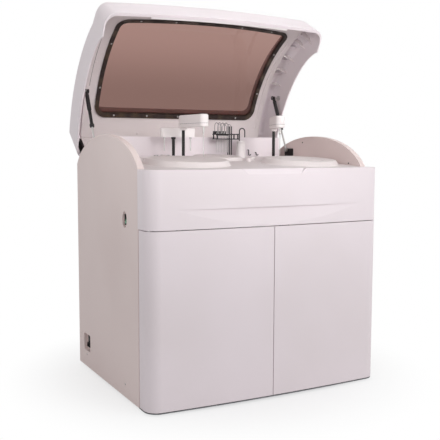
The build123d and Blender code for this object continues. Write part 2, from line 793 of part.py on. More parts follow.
with BuildPart() as wash_rods:
    with Locations(*[(rod_x + k * rod_pitch, rod_y, rim_z) for k in (-1, 0, 1)]):
        Cylinder(rod_r, plate_high + plate_t + 34 - rim_z, align=up)
    with BuildSketch(deck.offset(8)):
        with Locations(on_deck(rod_x, rod_y)):
            RectangleRounded(3 * rod_pitch + 6, 20, 4)
    extrude(amount=-8)
    with BuildSketch(deck):
        Rectangle(4 * width, 4 * width)
    extrude(amount=-body_height, mode=Mode.SUBTRACT)
wash_rods.part.label = "wash_rods"
export_step(wash_rods.part, "parts/wash_rods.step")

with BuildPart() as wash_tower:
    with Locations((tower_x, tower_y, rim_z)):
        Cylinder(tower_r, tower_top - rim_z, align=up)
    fillet(wash_tower.faces().sort_by(Axis.Z)[-1].edges(), 4)
    with BuildSketch(deck):
        Rectangle(4 * width, 4 * width)
    extrude(amount=-body_height, mode=Mode.SUBTRACT)
wash_tower.part.label = "wash_tower"
export_step(wash_tower.part, "parts/wash_tower.step")

hook_r, hook_bend, hook_rise = 2.5, 14.0, 44.0
with BuildPart() as feed_tube:
    with BuildLine():
        hook = Plane(origin=(tower_x - 4, tower_y + 6, tower_top), x_dir=(1, 0, 0), z_dir=(0, -1, 0))
        rise = Line(hook.from_local_coords((0, 0)), hook.from_local_coords((0, hook_rise)))
        crook = TangentArc(rise @ 1, hook.from_local_coords((2 * hook_bend, hook_rise)), tangent=(0, 0, 1))
        Line(crook @ 1, hook.from_local_coords((2 * hook_bend, 0.4 * hook_rise)))
    with BuildSketch(Plane(rise @ 0, z_dir=(0, 0, 1))):
        Circle(hook_r)
    sweep()
feed_tube.part.label = "feed_tube"
export_step(feed_tube.part, "parts/feed_tube.step")

with BuildPart() as wash_head:
    middle = ((plate_left + plate_right) / 2, (plate_front + plate_rear) / 2)
    for plate_z in (plate_low, plate_high):
        with BuildSketch(Plane.XY.offset(plate_z)):
            with Locations(middle):
                RectangleRounded(plate_right - plate_left, plate_rear - plate_front, 6)
        extrude(amount=plate_t)
    with Locations(*[(x, y, plate_low + plate_t) for x in (plate_left + 5, plate_right - 8)
                     for y in (plate_front + 8, plate_rear - 8)]):
        Cylinder(3, plate_high - plate_low - plate_t, align=up)
    with Locations(*[(rod_x + k * rod_pitch, rod_y, plate_low) for k in (-1, 0, 1)]):
        Cylinder(rod_r + running_fit, 4 * plate_high, mode=Mode.SUBTRACT)
    with BuildSketch(Plane.XY.offset(plate_high + plate_t)):
        with Locations((needle_x, plate_rear - 8)):
            RectangleRounded(3 * wash_pitch_x + 14, 13, 3)
    extrude(amount=12)
    with Locations((needle_x, needle_y, plate_low)):
        with GridLocations(wash_pitch_x, wash_pitch_y, 4, 2):
            Cylinder(wash_needle_r, 4 * plate_high, mode=Mode.SUBTRACT)
wash_head.part.label = "wash_head"
export_step(wash_head.part, "parts/wash_head.step")

wash_tip = plate_low - 58.0
with BuildPart() as wash_needles:
    with Locations((needle_x, needle_y, wash_tip)):
        with GridLocations(wash_pitch_x, wash_pitch_y, 4, 2):
            Cylinder(wash_needle_r, plate_high + plate_t + 6 - wash_tip, align=up)
wash_needles.part.label = "wash_needles"
export_step(wash_needles.part, "parts/wash_needles.step")

loop_r, loop_leg = 1.6, 26.0
with BuildPart() as wash_tubes:
    for k in range(4):
        x = needle_x + (k - 1.5) * wash_pitch_x
        foot_z = plate_high + plate_t + 6
        y0, y1 = needle_y - wash_pitch_y / 2, plate_rear - 8
        with BuildLine() as route:
            leg = Line((x, y0, foot_z), (x, y0, foot_z + loop_leg))
            bend = TangentArc(leg @ 1, (x, y1, foot_z + loop_leg), tangent=(0, 0, 1))
            Line(bend @ 1, (x, y1, foot_z + 6))
        with BuildSketch(Plane((x, y0, foot_z), z_dir=(0, 0, 1))):
            Circle(loop_r)
        sweep(path=route.line)
wash_tubes.part.label = "wash_tubes"
export_step(wash_tubes.part, "parts/wash_tubes.step")

# Wash cups for the needles and the paddles
front_cup = swung(front_column, front_needle, 0.53 * front_swing)
right_cup = swung(right_column, right_needle, -0.57 * right_swing)
mixer_cup = (mixer_column[0] + mixer_stems[0], mixer_column[1])
cup_height = 15.0
with BuildPart() as wash_cups:
    for spot, cup_r in ((front_cup, 10.0), (right_cup, 11.0), (mixer_cup, 15.0)):
        with BuildSketch(deck):
            with Locations(on_deck(*spot)):
                Circle(cup_r)
        extrude(amount=cup_height)
        with BuildSketch(deck.offset(cup_height)):
            with Locations(on_deck(*spot)):
                Circle(cup_r - 3)
        extrude(amount=-cup_height + 2, mode=Mode.SUBTRACT)
wash_cups.part.label = "wash_cups"
export_step(wash_cups.part, "parts/wash_cups.step")

# Rear cover: a splash wall behind the deck, then a hood round the sweep of the lid
splash_y = deck_back - splash_t
splash_top = deck_height(splash_y) + splash_height
panel_top = base_z + body_height - deck_t


def sweep_z(y, radius):
    """Height of a circle about the hinge axis at depth y."""
    return hinge_z + sqrt(radius**2 - (y - hinge_y) ** 2)


def hood(radius, front, rear, foot):
    """Hood section between two depths, rounded about the hinge axis."""
    with BuildSketch() as section:
        with BuildLine():
            begin, end = (front, sweep_z(front, radius)), (rear, sweep_z(rear, radius))
            crown = RadiusArc(begin, end, radius)
            Polyline(crown @ 1, (rear, foot), (front, foot), crown @ 0)
        make_face()
    return section.sketch


with BuildPart() as rear_cover:
    with BuildSketch(Plane.YZ):
        add(hood(sweep_r, deck_back - 0.5, back_y, panel_top))
        with BuildLine():
            Polyline((splash_y, deck_height(splash_y)), (splash_y, splash_top), (deck_back, splash_top),
                     (deck_back, deck_height(deck_back)), close=True)
        make_face()
    extrude(amount=rear_cover_half, both=True)
    with BuildSketch(Plane.YZ):
        add(hood(sweep_r - rear_cover_t, deck_back - 0.5, back_y - rear_cover_t, panel_top - 1))
        with Locations((deck_back, 0)):
            Rectangle(2 * rear_cover_t, 4 * rim_z, mode=Mode.SUBTRACT)
    extrude(amount=rear_cover_half - rear_cover_t, both=True, mode=Mode.SUBTRACT)
    with BuildSketch(Plane.YZ):
        with BuildLine():
            Polyline((splash_y - 1, deck_height(splash_y - 1)), (deck_back + 1, deck_height(deck_back + 1)),
                     (deck_back + 1, panel_top - 10), (splash_y - 1, panel_top - 10), close=True)
        make_face()
    extrude(amount=rear_cover_half, both=True, mode=Mode.SUBTRACT)
rear_cover.part.label = "rear_cover"
export_step(rear_cover.part, "parts/rear_cover.step")

with BuildPart() as hinge_wells:
    well_mid_x = (rear_cover_half + inner_x) / 2
    well_wide = inner_x - rear_cover_half - 2 * clear
    well_mid_y = (deck_back + rear_panel_y) / 2
    well_long = rear_panel_y - deck_back - 2 * clear
    well_floor = hinge_z - hinge_boss_r - 18
    for side in (-1, 1):
        with BuildSketch(Plane.XY.offset(well_floor)):
            with Locations((side * well_mid_x, well_mid_y)):
                Rectangle(well_wide, well_long)
        extrude(amount=panel_top - well_floor)
        with BuildSketch(Plane.XY.offset(well_floor + sheet_t)):
            with Locations((side * (well_mid_x + sheet_t), well_mid_y)):
                Rectangle(well_wide, well_long - 2 * sheet_t)
        extrude(amount=body_height, mode=Mode.SUBTRACT)
hinge_wells.part.label = "hinge_wells"
export_step(hinge_wells.part, "parts/hinge_wells.step")

# Inside the cabinet
bay_top = base_z + 762.0
partition_t = 18.0
bay_front = seam_y - sill_back + sheet_t + 2
tray_top = base_z + sheet_t
shelf_z = base_z + 330.0
shelf_depth = 560.0
with BuildPart() as bay_panels:
    with BuildSketch(Plane.XY.offset(bay_top)):
        with Locations((0, (seam_y + rear_panel_y) / 2)):
            Rectangle(2 * (inner_x - clear), rear_panel_y - seam_y - 2 * clear)
    extrude(amount=sheet_t)
    with BuildSketch(Plane.XY.offset(tray_top)):
        with Locations((0, (bay_front + rear_panel_y) / 2)):
            Rectangle(partition_t, rear_panel_y - bay_front - 2 * clear)
    extrude(amount=bay_top - tray_top)
    with BuildSketch(Plane.XY.offset(shelf_z)):
        with Locations(((partition_t / 2 + inner_x - clear) / 2, rear_panel_y - shelf_depth / 2 - clear)):
            Rectangle(inner_x - clear - partition_t / 2, shelf_depth)
    extrude(amount=sheet_t)
bay_panels.part.label = "bay_panels"
export_step(bay_panels.part, "parts/bay_panels.step")

with BuildPart() as power_supply:
    with Locations((inner_x / 2, seam_y + 360, tray_top)):
        Box(300, 380, 190, align=up)
    with BuildSketch(Plane.XZ.offset(-seam_y - 170)):
        with Locations((inner_x / 2, tray_top + 95)):
            with GridLocations(1, 14, 1, 9):
                SlotOverall(200, 5)
    extrude(amount=-6, mode=Mode.SUBTRACT)
power_supply.part.label = "power_supply"
export_step(power_supply.part, "parts/power_supply.step")

with BuildPart() as pump_module:
    with Locations((inner_x / 2, seam_y + 400, shelf_z + sheet_t)):
        Box(320, 240, 20, align=up)
    with Locations(*[(inner_x / 2 + k * 100, seam_y + 400, shelf_z + sheet_t + 20) for k in (-1, 0, 1)]):
        Cylinder(36, 110, align=up)
    with Locations(*[(inner_x / 2 + k * 100, seam_y + 400, shelf_z + sheet_t + 130) for k in (-1, 0, 1)]):
        Cylinder(16, 36, align=up)
pump_module.part.label = "pump_module"
export_step(pump_module.part, "parts/pump_module.step")


def bottle(x, y, side, height):
    """Square blow-moulded bottle with rounded edges and a short neck."""
    neck_r, neck_h = 24.0, 22.0
    with BuildPart() as body:
        with BuildSketch(Plane.XY.offset(tray_top)):
            with Locations((x, y)):
                RectangleRounded(side, side, 28)
        extrude(amount=height)
        fillet(body.faces().sort_by(Axis.Z)[-1].edges(), 22)
        with Locations((x, y, tray_top + height)):
            Cylinder(neck_r, neck_h, align=up)
    return body.part


bottle_side, bottle_height = 190.0, 330.0
bottle_spots = ((-inner_x / 2 - 110, seam_y + 160), (-inner_x / 2 + 110, seam_y + 160))
with BuildPart() as bottles:
    for spot in bottle_spots:
        add(bottle(*spot, bottle_side, bottle_height))
bottles.part.label = "bottles"
export_step(bottles.part, "parts/bottles.step")

with BuildPart() as bottle_caps:
    with Locations(*[(x, y, tray_top + bottle_height + 6) for x, y in bottle_spots]):
        Cylinder(30, 26, align=up)
    fillet(bottle_caps.faces().group_by(Axis.Z)[-1].edges(), 3)
    with Locations(*[(x, y, tray_top + bottle_height + 6) for x, y in bottle_spots]):
        Cylinder(24 + clear, 16, align=up, mode=Mode.SUBTRACT)
bottle_caps.part.label = "bottle_caps"
export_step(bottle_caps.part, "parts/bottle_caps.step")

# Lid. Its section is drawn closed, from the hinge axis: x to the back, y up.
lid_foot = hinge_below_rim + lid_gap
lid_low = -40.0
lid_front = front_y - hinge_y
nose_centre = (lid_front + nose_r, lid_foot + lid_lip)
rear_top = (-rear_top_ahead, rear_top_up)
roof_centre = circle_meet(nose_centre, roof_r - nose_r, rear_top, roof_r, -1)
rim_a, rim_b = wing_a + lid_gap, wing_b + lid_gap
rim_x, rim_y = wing_y - hinge_y, wing_z - hinge_z
rear_foot = (-rear_foot_ahead, rim_y + rim_b * sqrt(1 - ((-rear_foot_ahead - rim_x) / rim_a) ** 2))
rear_rise = hypot(rear_top[0] - rear_foot[0], rear_top[1] - rear_foot[1])
rear_way = ((rear_top[0] - rear_foot[0]) / rear_rise, (rear_top[1] - rear_foot[1]) / rear_rise)


def rear_wall(inset, height):
    """Point on the rear wall of the lid, moved in by inset, at a local height."""
    x, y = rear_foot[0] - inset * rear_way[1], rear_foot[1] + inset * rear_way[0]
    run = (height - y) / rear_way[1]
    return (x + run * rear_way[0], height)


def on_circle(centre, radius, start, way):
    """First point of a circle met from outside its top along a line through start."""
    wx, wy = start[0] - centre[0], start[1] - centre[1]
    along = -(wx * way[0] + wy * way[1])
    run = along + sqrt(along**2 - wx**2 - wy**2 + radius**2)
    return (start[0] + run * way[0], start[1] + run * way[1])


def lid_section(inset, rear_inset):
    """Side section of the lid, moved in by inset all round."""
    top = on_circle(roof_centre, roof_r - inset, rear_wall(rear_inset, lid_low), rear_way)
    reach = roof_r - nose_r
    lean = ((nose_centre[0] - roof_centre[0]) / reach, (nose_centre[1] - roof_centre[1]) / reach)
    join = (roof_centre[0] + lean[0] * (roof_r - inset), roof_centre[1] + lean[1] * (roof_r - inset))
    with BuildSketch() as section:
        with BuildLine():
            front = Line((lid_front + inset, lid_low), (lid_front + inset, nose_centre[1]))
            nose = RadiusArc(front @ 1, join, nose_r - inset)
            roof = RadiusArc(nose @ 1, top, roof_r - inset)
            Polyline(roof @ 1, rear_wall(rear_inset, lid_low), front @ 0)
        make_face()
    return section.sketch


corner_start = 4.0
bow_half_turn = degrees(asin(half / bow_r)) + 0.5


def lid_block(inset):
    """Closed block with the outline of the lid, moved in by inset, its nose following the bowed front."""
    bow_axis = Axis(lid_side.from_local_coords((lid_front + bow_r, 0)), lid_plan.z_dir)
    cut_x = corner_x + (corner_r - inset) * sin(radians(corner_turn)) + corner_start
    with BuildPart() as block:
        with BuildSketch(lid_side):
            add(lid_section(inset, inset - 60))
        revolve(axis=bow_axis, revolution_arc=bow_half_turn)
        with BuildSketch(lid_side):
            add(lid_section(inset - 60, inset))
        extrude(amount=half - inset, mode=Mode.INTERSECT)
        rounds = block.edges().filter_by(lambda e: lid_plan.to_local_coords(e.center()).Z > lid_low + 1)
        rounds = rounds.filter_by(lambda e: e.center().X > 1)
        sides = rounds.filter_by(lambda e: abs(e.center().X - half + inset) < 1)
        rear = rounds.filter_by(lambda e: lid_plan.to_local_coords(e.center()).Y > rear_top[0] - inset - 20)
        fillet(ShapeList(set(sides + rear)), max(lid_edge_r - inset, 2))
        with BuildSketch(lid_plan.offset(lid_low - 1)):
            with Locations((cut_x, corner_y - hinge_y)):
                Rectangle(2 * corner_r, 2 * corner_r, align=(Align.MIN, Align.MAX))
            with Locations((corner_x, corner_y - hinge_y)):
                Circle(corner_r - inset, mode=Mode.SUBTRACT)
        extrude(amount=rear_top_up * 2, mode=Mode.SUBTRACT)
        mirror(about=Plane.YZ)
    return block.part


liner_centre = (roof_centre[0] - liner_shift, roof_centre[1] - liner_drop)
liner_half = half - liner_inset
fit = lid_t + clear
lean = radians(window_lean)
window_normal = lid_side.y_dir * cos(lean) - lid_side.x_dir * sin(lean)
window_spot = lid_side.from_local_coords(liner_centre) + window_normal * roof_r
window = Plane(origin=window_spot, x_dir=(1, 0, 0), z_dir=window_normal)
pane_foot = roof_r + liner_t + clear


def window_outline(inset):
    """Rounded outline of the window, moved in by inset from the outer edge of its gasket."""
    with BuildSketch() as outline:
        with Locations((0, window_rear - inset)):
            Rectangle(2 * (window_half - inset), 4 * window_rear, align=(Align.CENTER, Align.MAX))
        with Locations((0, window_bow_r - window_front)):
            Circle(window_bow_r - inset, mode=Mode.INTERSECT)
        fillet(outline.vertices(), window_corner_r - inset)
    return outline.sketch


def window_slab(inset, low, high):
    """The window outline as a curved slab between two distances from the liner's centre line."""
    with BuildPart() as slab:
        with BuildSketch(window):
            add(window_outline(inset))
        extrude(amount=4 * liner_drop, both=True)
        with BuildSketch(lid_side):
            with Locations(liner_centre):
                Circle(high)
                Circle(low, mode=Mode.SUBTRACT)
        extrude(amount=half, both=True, mode=Mode.INTERSECT)
    return slab.part


hole_inset = gasket_band
reveal_inset = gasket_band - reveal_t
rib_places = (-640.0, -560.0, -480.0, -400.0)
rib_drop = 30.0
with BuildPart() as lid_trim:
    add(window_slab(reveal_inset, pane_foot + pane_t + clear, 2 * roof_r))
    with Locations(*[lid_side.location * Pos(x, 0, side * (half + liner_half) / 2)
                     for x in rib_places for side in (-1, 1)]):
        Box(sheet_t, 4 * rear_top_up, half - liner_half - 2 * clear)
    add(lid_block(1), mode=Mode.INTERSECT)
    with BuildSketch(lid_side):
        with Locations(roof_centre):
            Circle(roof_r - lid_t - rib_drop)
    extrude(amount=half, both=True, mode=Mode.SUBTRACT)

with BuildPart() as lid_shell:
    add(lid_block(0))
    add(lid_block(lid_t), mode=Mode.SUBTRACT)
    with BuildSketch(lid_side):
        with BuildLine():
            rear_turn = degrees(acos((rear_foot[0] - rim_x) / rim_a))
            front_turn = 180 - degrees(asin((lid_foot - rim_y) / rim_b))
            arch = EllipticalCenterArc((rim_x, rim_y), rim_a, rim_b, rear_turn, arc_size=front_turn - rear_turn)
            Polyline(arch @ 1, (lid_front - 9, lid_foot), (lid_front - 9, 3 * lid_low), (half, 3 * lid_low),
                     (half, rear_foot[1]), arch @ 0)
        make_face()
    extrude(amount=width, both=True, mode=Mode.SUBTRACT)
    add(lid_trim.part)
    add(window_slab(hole_inset, roof_r / 2, 2 * roof_r), mode=Mode.SUBTRACT)
lid_shell.part.label = "lid_shell"
export_step(lid_shell.part, "parts/lid_shell.step")

liner_rear_foot = rear_foot[1] + 4
with BuildPart() as liner_core:
    add(lid_block(fit))
    with BuildSketch(lid_side):
        with Locations(liner_centre):
            Circle(roof_r + liner_t)
    extrude(amount=half, both=True, mode=Mode.SUBTRACT)
    with BuildSketch(lid_side):
        Rectangle(4 * roof_r, 4 * roof_r)
    extrude(amount=liner_half - liner_t, both=True, mode=Mode.INTERSECT)

with BuildPart() as lid_liner:
    add(lid_block(fit))
    with BuildSketch(lid_side):
        with Locations(liner_centre):
            Circle(roof_r)
    extrude(amount=half, both=True, mode=Mode.SUBTRACT)
    with BuildSketch(lid_side):
        with BuildLine():
            Polyline(rear_wall(fit, liner_rear_foot), rear_wall(fit, rear_top_up - liner_drop),
                     rear_wall(fit + sheet_t, rear_top_up - liner_drop), rear_wall(fit + sheet_t, liner_rear_foot),
                     close=True)
        make_face()
    extrude(amount=liner_half, both=True)
    with BuildSketch(lid_side):
        Rectangle(4 * roof_r, 4 * roof_r)
    extrude(amount=liner_half, both=True, mode=Mode.INTERSECT)
    add(liner_core.part, mode=Mode.SUBTRACT)
    add(window_slab(gasket_band - liner_t - clear, roof_r / 2, 2 * roof_r), mode=Mode.SUBTRACT)
lid_liner.part.label = "lid_liner"
export_step(lid_liner.part, "parts/lid_liner.step")

with BuildPart() as window_gasket:
    add(window_slab(0, roof_r - gasket_t, roof_r))
    add(window_slab(gasket_band - liner_t, roof_r - gasket_t, pane_foot - clear))
    add(window_slab(gasket_band, roof_r / 2, 2 * roof_r), mode=Mode.SUBTRACT)
window_gasket.part.label = "window_gasket"
export_step(window_gasket.part, "parts/window_gasket.step")

with BuildPart() as window_pane:
    add(window_slab(3, pane_foot, pane_foot + pane_t))
window_pane.part.label = "window_pane"
export_step(window_pane.part, "parts/window_pane.step")

strip_half, strip_t, strip_height, strip_up = 320.0, 8.0, 16.0, 3.0
with BuildPart() as lid_front_strip:
    add(lid_block(fit))
    add(lid_block(fit + strip_t), mode=Mode.SUBTRACT)
    with BuildSketch(lid_side):
        with Locations((lid_front, lid_foot + strip_up)):
            Rectangle(2 * corner_r, strip_height, align=(Align.MIN, Align.MIN))
    extrude(amount=strip_half, both=True, mode=Mode.INTERSECT)
lid_front_strip.part.label = "lid_front_strip"
export_step(lid_front_strip.part, "parts/lid_front_strip.step")

# Hinge arms, bolted to the rear wall of the lid, and the pins they turn on
arm_x = spring_x - arm_t / 2 - 1
arm_top = rear_foot[1] + 88
arm_depth = 18.0
neck_front, neck_up = 28.0, 104.0
with BuildPart() as hinge_arms:
    with BuildSketch(lid_side.offset(arm_x)):
        Circle(hinge_boss_r)
        with BuildLine():
            Polyline((1 - hinge_boss_r, 0), (-neck_front, neck_up), (-neck_front, neck_up + 18),
                     rear_wall(fit + arm_depth, rear_foot[1] + 14), rear_wall(fit + arm_depth, arm_top),
                     rear_wall(fit, arm_top), rear_wall(fit, rear_foot[1]), rear_wall(fit, rear_foot[1] - 10),
                     (-neck_front / 3, neck_up), (hinge_boss_r - 1, 0), close=True)
        make_face()
        Circle(hinge_pin_r + running_fit, mode=Mode.SUBTRACT)
    extrude(amount=arm_t)
    with BuildSketch(lid_side.offset(arm_x)):
        with BuildLine():
            Polyline(rear_wall(fit, rear_foot[1] + 12), rear_wall(fit, arm_top),
                     rear_wall(fit + 5, arm_top), rear_wall(fit + 5, rear_foot[1] + 12), close=True)
        make_face()
    extrude(amount=half - lid_edge_r - 1 - arm_x)
    mirror(about=Plane.YZ)
hinge_arms.part.label = "hinge_arms"
export_step(hinge_arms.part, "parts/hinge_arms.step")

pin_inner = arm_x - 4
with BuildPart() as hinge_pins:
    with Locations(Plane(origin=(pin_inner, hinge_y, hinge_z), z_dir=(1, 0, 0))):
        Cylinder(hinge_pin_r, inner_x + pin_seat - clear - pin_inner, align=up)
        Cylinder(hinge_pin_r + 4, arm_x - clear - pin_inner, align=up)
    mirror(about=Plane.YZ)
hinge_pins.part.label = "hinge_pins"
export_step(hinge_pins.part, "parts/hinge_pins.step")

# Gas springs between the lid's side walls and the wings
spring_head = lid_side.from_local_coords((-spring_top_ahead, spring_top_up))
spring_foot = Vector(0, hinge_y - spring_foot_ahead, hinge_z + spring_foot_up)
spring_way = (spring_foot - spring_head).normalized()
spring_span = (spring_foot - spring_head).length
eye_r = spring_tube_r + 1.0
tube_start, bore_start = 12.0, 26.0
tube_end = spring_span * spring_tube_share
rod_start = bore_start + 30.0
spring = Plane(origin=spring_head + Vector(spring_x, 0, 0), x_dir=spring_way, z_dir=(1, 0, 0))


def along_spring(run):
    """Plane square to the spring, at a run from its upper pin."""
    return Plane(origin=spring.from_local_coords((run, 0)), x_dir=(1, 0, 0), z_dir=spring_way)


with BuildPart() as right_spring_tube:
    with BuildSketch(spring.offset(-spring_eye_t / 2)):
        Circle(eye_r)
        with Locations((tube_start / 2 + 1, 0)):
            Rectangle(tube_start + 2, eye_r)
    extrude(amount=spring_eye_t)
    with Locations(along_spring(tube_start)):
        Cylinder(spring_tube_r, tube_end - tube_start, align=up)
    chamfer(right_spring_tube.edges().filter_by(GeomType.CIRCLE).sort_by(Axis(spring_head, spring_way))[-1], 1)
    with BuildSketch(spring.offset(-spring_eye_t)):
        Circle(spring_stud_r + running_fit)
    extrude(amount=2 * spring_eye_t, mode=Mode.SUBTRACT)
    with Locations(along_spring(bore_start)):
        Cylinder(spring_rod_r + running_fit, spring_span, align=up, mode=Mode.SUBTRACT)
right_spring_tube.part.label = "right_spring_tube"
export_step(right_spring_tube.part, "parts/right_spring_tube.step")

with BuildPart() as left_spring_tube:
    add(mirror(right_spring_tube.part, about=Plane.YZ))
left_spring_tube.part.label = "left_spring_tube"
export_step(left_spring_tube.part, "parts/left_spring_tube.step")

bracket_t = 4.0
with BuildPart() as right_spring_rod:
    with Locations(along_spring(rod_start)):
        Cylinder(spring_rod_r, spring_span - eye_r - rod_start + 2, align=up)
    with BuildSketch(spring.offset(-spring_eye_t / 2)):
        with Locations((spring_span, 0)):
            Circle(eye_r)
    extrude(amount=spring_eye_t)
    with BuildSketch(spring):
        with Locations((spring_span, 0)):
            Circle(spring_stud_r)
    extrude(amount=inner_x - bracket_t - clear - spring_x)
right_spring_rod.part.label = "right_spring_rod"
export_step(right_spring_rod.part, "parts/right_spring_rod.step")

with BuildPart() as left_spring_rod:
    add(mirror(right_spring_rod.part, about=Plane.YZ))
left_spring_rod.part.label = "left_spring_rod"
export_step(left_spring_rod.part, "parts/left_spring_rod.step")

with BuildPart() as spring_studs:
    with BuildSketch(spring.offset(-spring_eye_t / 2 - 1)):
        Circle(spring_stud_r)
    extrude(amount=half - lid_t - spring_x + spring_eye_t / 2 + 1)
    with BuildSketch(spring.offset(half - lid_t - spring_x)):
        Circle(3 * spring_stud_r)
    extrude(amount=-4)
    mirror(about=Plane.YZ)
spring_studs.part.label = "spring_studs"
export_step(spring_studs.part, "parts/spring_studs.step")

bracket_long, bracket_tall = 69.0, 34.0
with BuildPart() as wing_brackets:
    with BuildSketch(Plane.YZ.offset(inner_x - bracket_t)):
        with Locations((spring_foot.Y - bracket_long / 6, spring_foot.Z + eye_r - bracket_tall / 2)):
            RectangleRounded(bracket_long, bracket_tall, 5)
    extrude(amount=bracket_t)
    mirror(about=Plane.YZ)
wing_brackets.part.label = "wing_brackets"
export_step(wing_brackets.part, "parts/wing_brackets.step")

# Catches under the fascia that hold the doors shut
catch_width, catch_depth, catch_height = 34.0, 24.0, 18.0
catch_top = door_seam_z + door_gap
with BuildPart() as door_catches:
    with Locations(*[(side * 60, front_y + door_t + 1, catch_top) for side in (-1, 1)]):
        Box(catch_width, catch_depth, catch_height, align=(Align.CENTER, Align.MIN, Align.MAX))
door_catches.part.label = "door_catches"
export_step(door_catches.part, "parts/door_catches.step")
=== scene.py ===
"""Looks of a floor-standing clinical chemistry analyzer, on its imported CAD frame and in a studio."""

from __future__ import annotations

import json
import logging
import math
from collections.abc import Iterator, Sequence
from dataclasses import dataclass
from enum import Enum
from functools import lru_cache
from typing import Any, Union

import bpy
from mathutils import Matrix, Vector


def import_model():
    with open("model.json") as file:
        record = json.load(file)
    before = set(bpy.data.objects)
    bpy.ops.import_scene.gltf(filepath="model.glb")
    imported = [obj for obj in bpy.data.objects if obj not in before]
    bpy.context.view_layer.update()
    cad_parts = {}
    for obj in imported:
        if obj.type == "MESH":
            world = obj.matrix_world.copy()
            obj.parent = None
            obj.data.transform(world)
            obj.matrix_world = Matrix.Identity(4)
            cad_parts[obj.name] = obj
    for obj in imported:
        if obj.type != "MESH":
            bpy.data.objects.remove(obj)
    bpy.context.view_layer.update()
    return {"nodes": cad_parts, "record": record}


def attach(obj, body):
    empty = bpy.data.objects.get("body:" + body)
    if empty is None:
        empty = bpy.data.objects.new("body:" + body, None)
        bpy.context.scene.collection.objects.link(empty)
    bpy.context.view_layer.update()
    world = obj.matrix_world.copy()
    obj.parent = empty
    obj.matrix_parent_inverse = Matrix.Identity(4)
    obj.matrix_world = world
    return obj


log = logging.getLogger("analyzer")

Rgb = tuple[int, int, int]
Point = tuple[float, float, float]
Profile = tuple[tuple[float, float], ...]
Value = Union["Wire", float, Sequence[float]]

WHITE = (1.0, 1.0, 1.0, 1.0)


def linear(colour: Rgb) -> tuple[float, float, float, float]:
    """Turns a display colour into the one that the renderer takes.

    Args:
        colour: Red, green and blue in steps of 255.

    Returns:
        The linear colour, with full alpha.
    """
    channels = [c / 255 for c in colour]
    red, green, blue = (c / 12.92 if c <= 0.04045 else ((c + 0.055) / 1.055) ** 2.4 for c in channels)
    return red, green, blue, 1.0


class Wire:
    """Output of a shader node, which shader sums can be written with."""

    def __init__(self, graph: Graph, socket: bpy.types.NodeSocket) -> None:
        """Holds the socket and the graph it is in."""
        self.graph = graph
        self.socket = socket

    def _sum(self, operation: str, first: Value, second: Value = 0.0) -> Wire:
        """One Math node on two values."""
        return self.graph.node("ShaderNodeMath", {"operation": operation}, {0: first, 1: second})

    def __add__(self, other: Value) -> Wire:
        """Sum."""
        return self._sum("ADD", self, other)

    __radd__ = __add__

    def __sub__(self, other: Value) -> Wire:
        """Difference."""
        return self._sum("SUBTRACT", self, other)

    def __rsub__(self, other: Value) -> Wire:
        """Difference from a number."""
        return self._sum("SUBTRACT", other, self)

    def __mul__(self, other: Value) -> Wire:
        """Product."""
        return self._sum("MULTIPLY", self, other)

    __rmul__ = __mul__

    def __truediv__(self, other: Value) -> Wire:
        """Quotient."""
        return self._sum("DIVIDE", self, other)

    def __rtruediv__(self, other: Value) -> Wire:
        """Quotient of a number."""
        return self._sum("DIVIDE", other, self)

    def __abs__(self) -> Wire:
        """Size without sign."""
        return self._sum("ABSOLUTE", self)

    def cycle(self, period: float) -> Wire:
        """Rise from 0 to 1 over each period."""
        return self._sum("FRACT", self / period)

    def ease(self, low: float, high: float) -> Wire:
        """0 below low and 1 above high, with an eased step between.

        Args:
            low: Value where the step starts.
            high: Value where the step ends.

        Returns:
            The stepped value.
        """
        limits = {"Value": self, "From Min": low, "From Max": high}
        return self.graph.node("ShaderNodeMapRange", {"interpolation_type": "SMOOTHSTEP"}, limits)

    def band(self, centre: float, half: float, soft: float) -> Wire:
        """1 within half of the centre, easing to 0 over a soft edge.

        Args:
            centre: Middle of the band.
            half: Half of its full-strength width.
            soft: Width of each edge.

        Returns:
            The strength of the band.
        """
        return 1.0 - abs(self - centre).ease(half, half + soft)


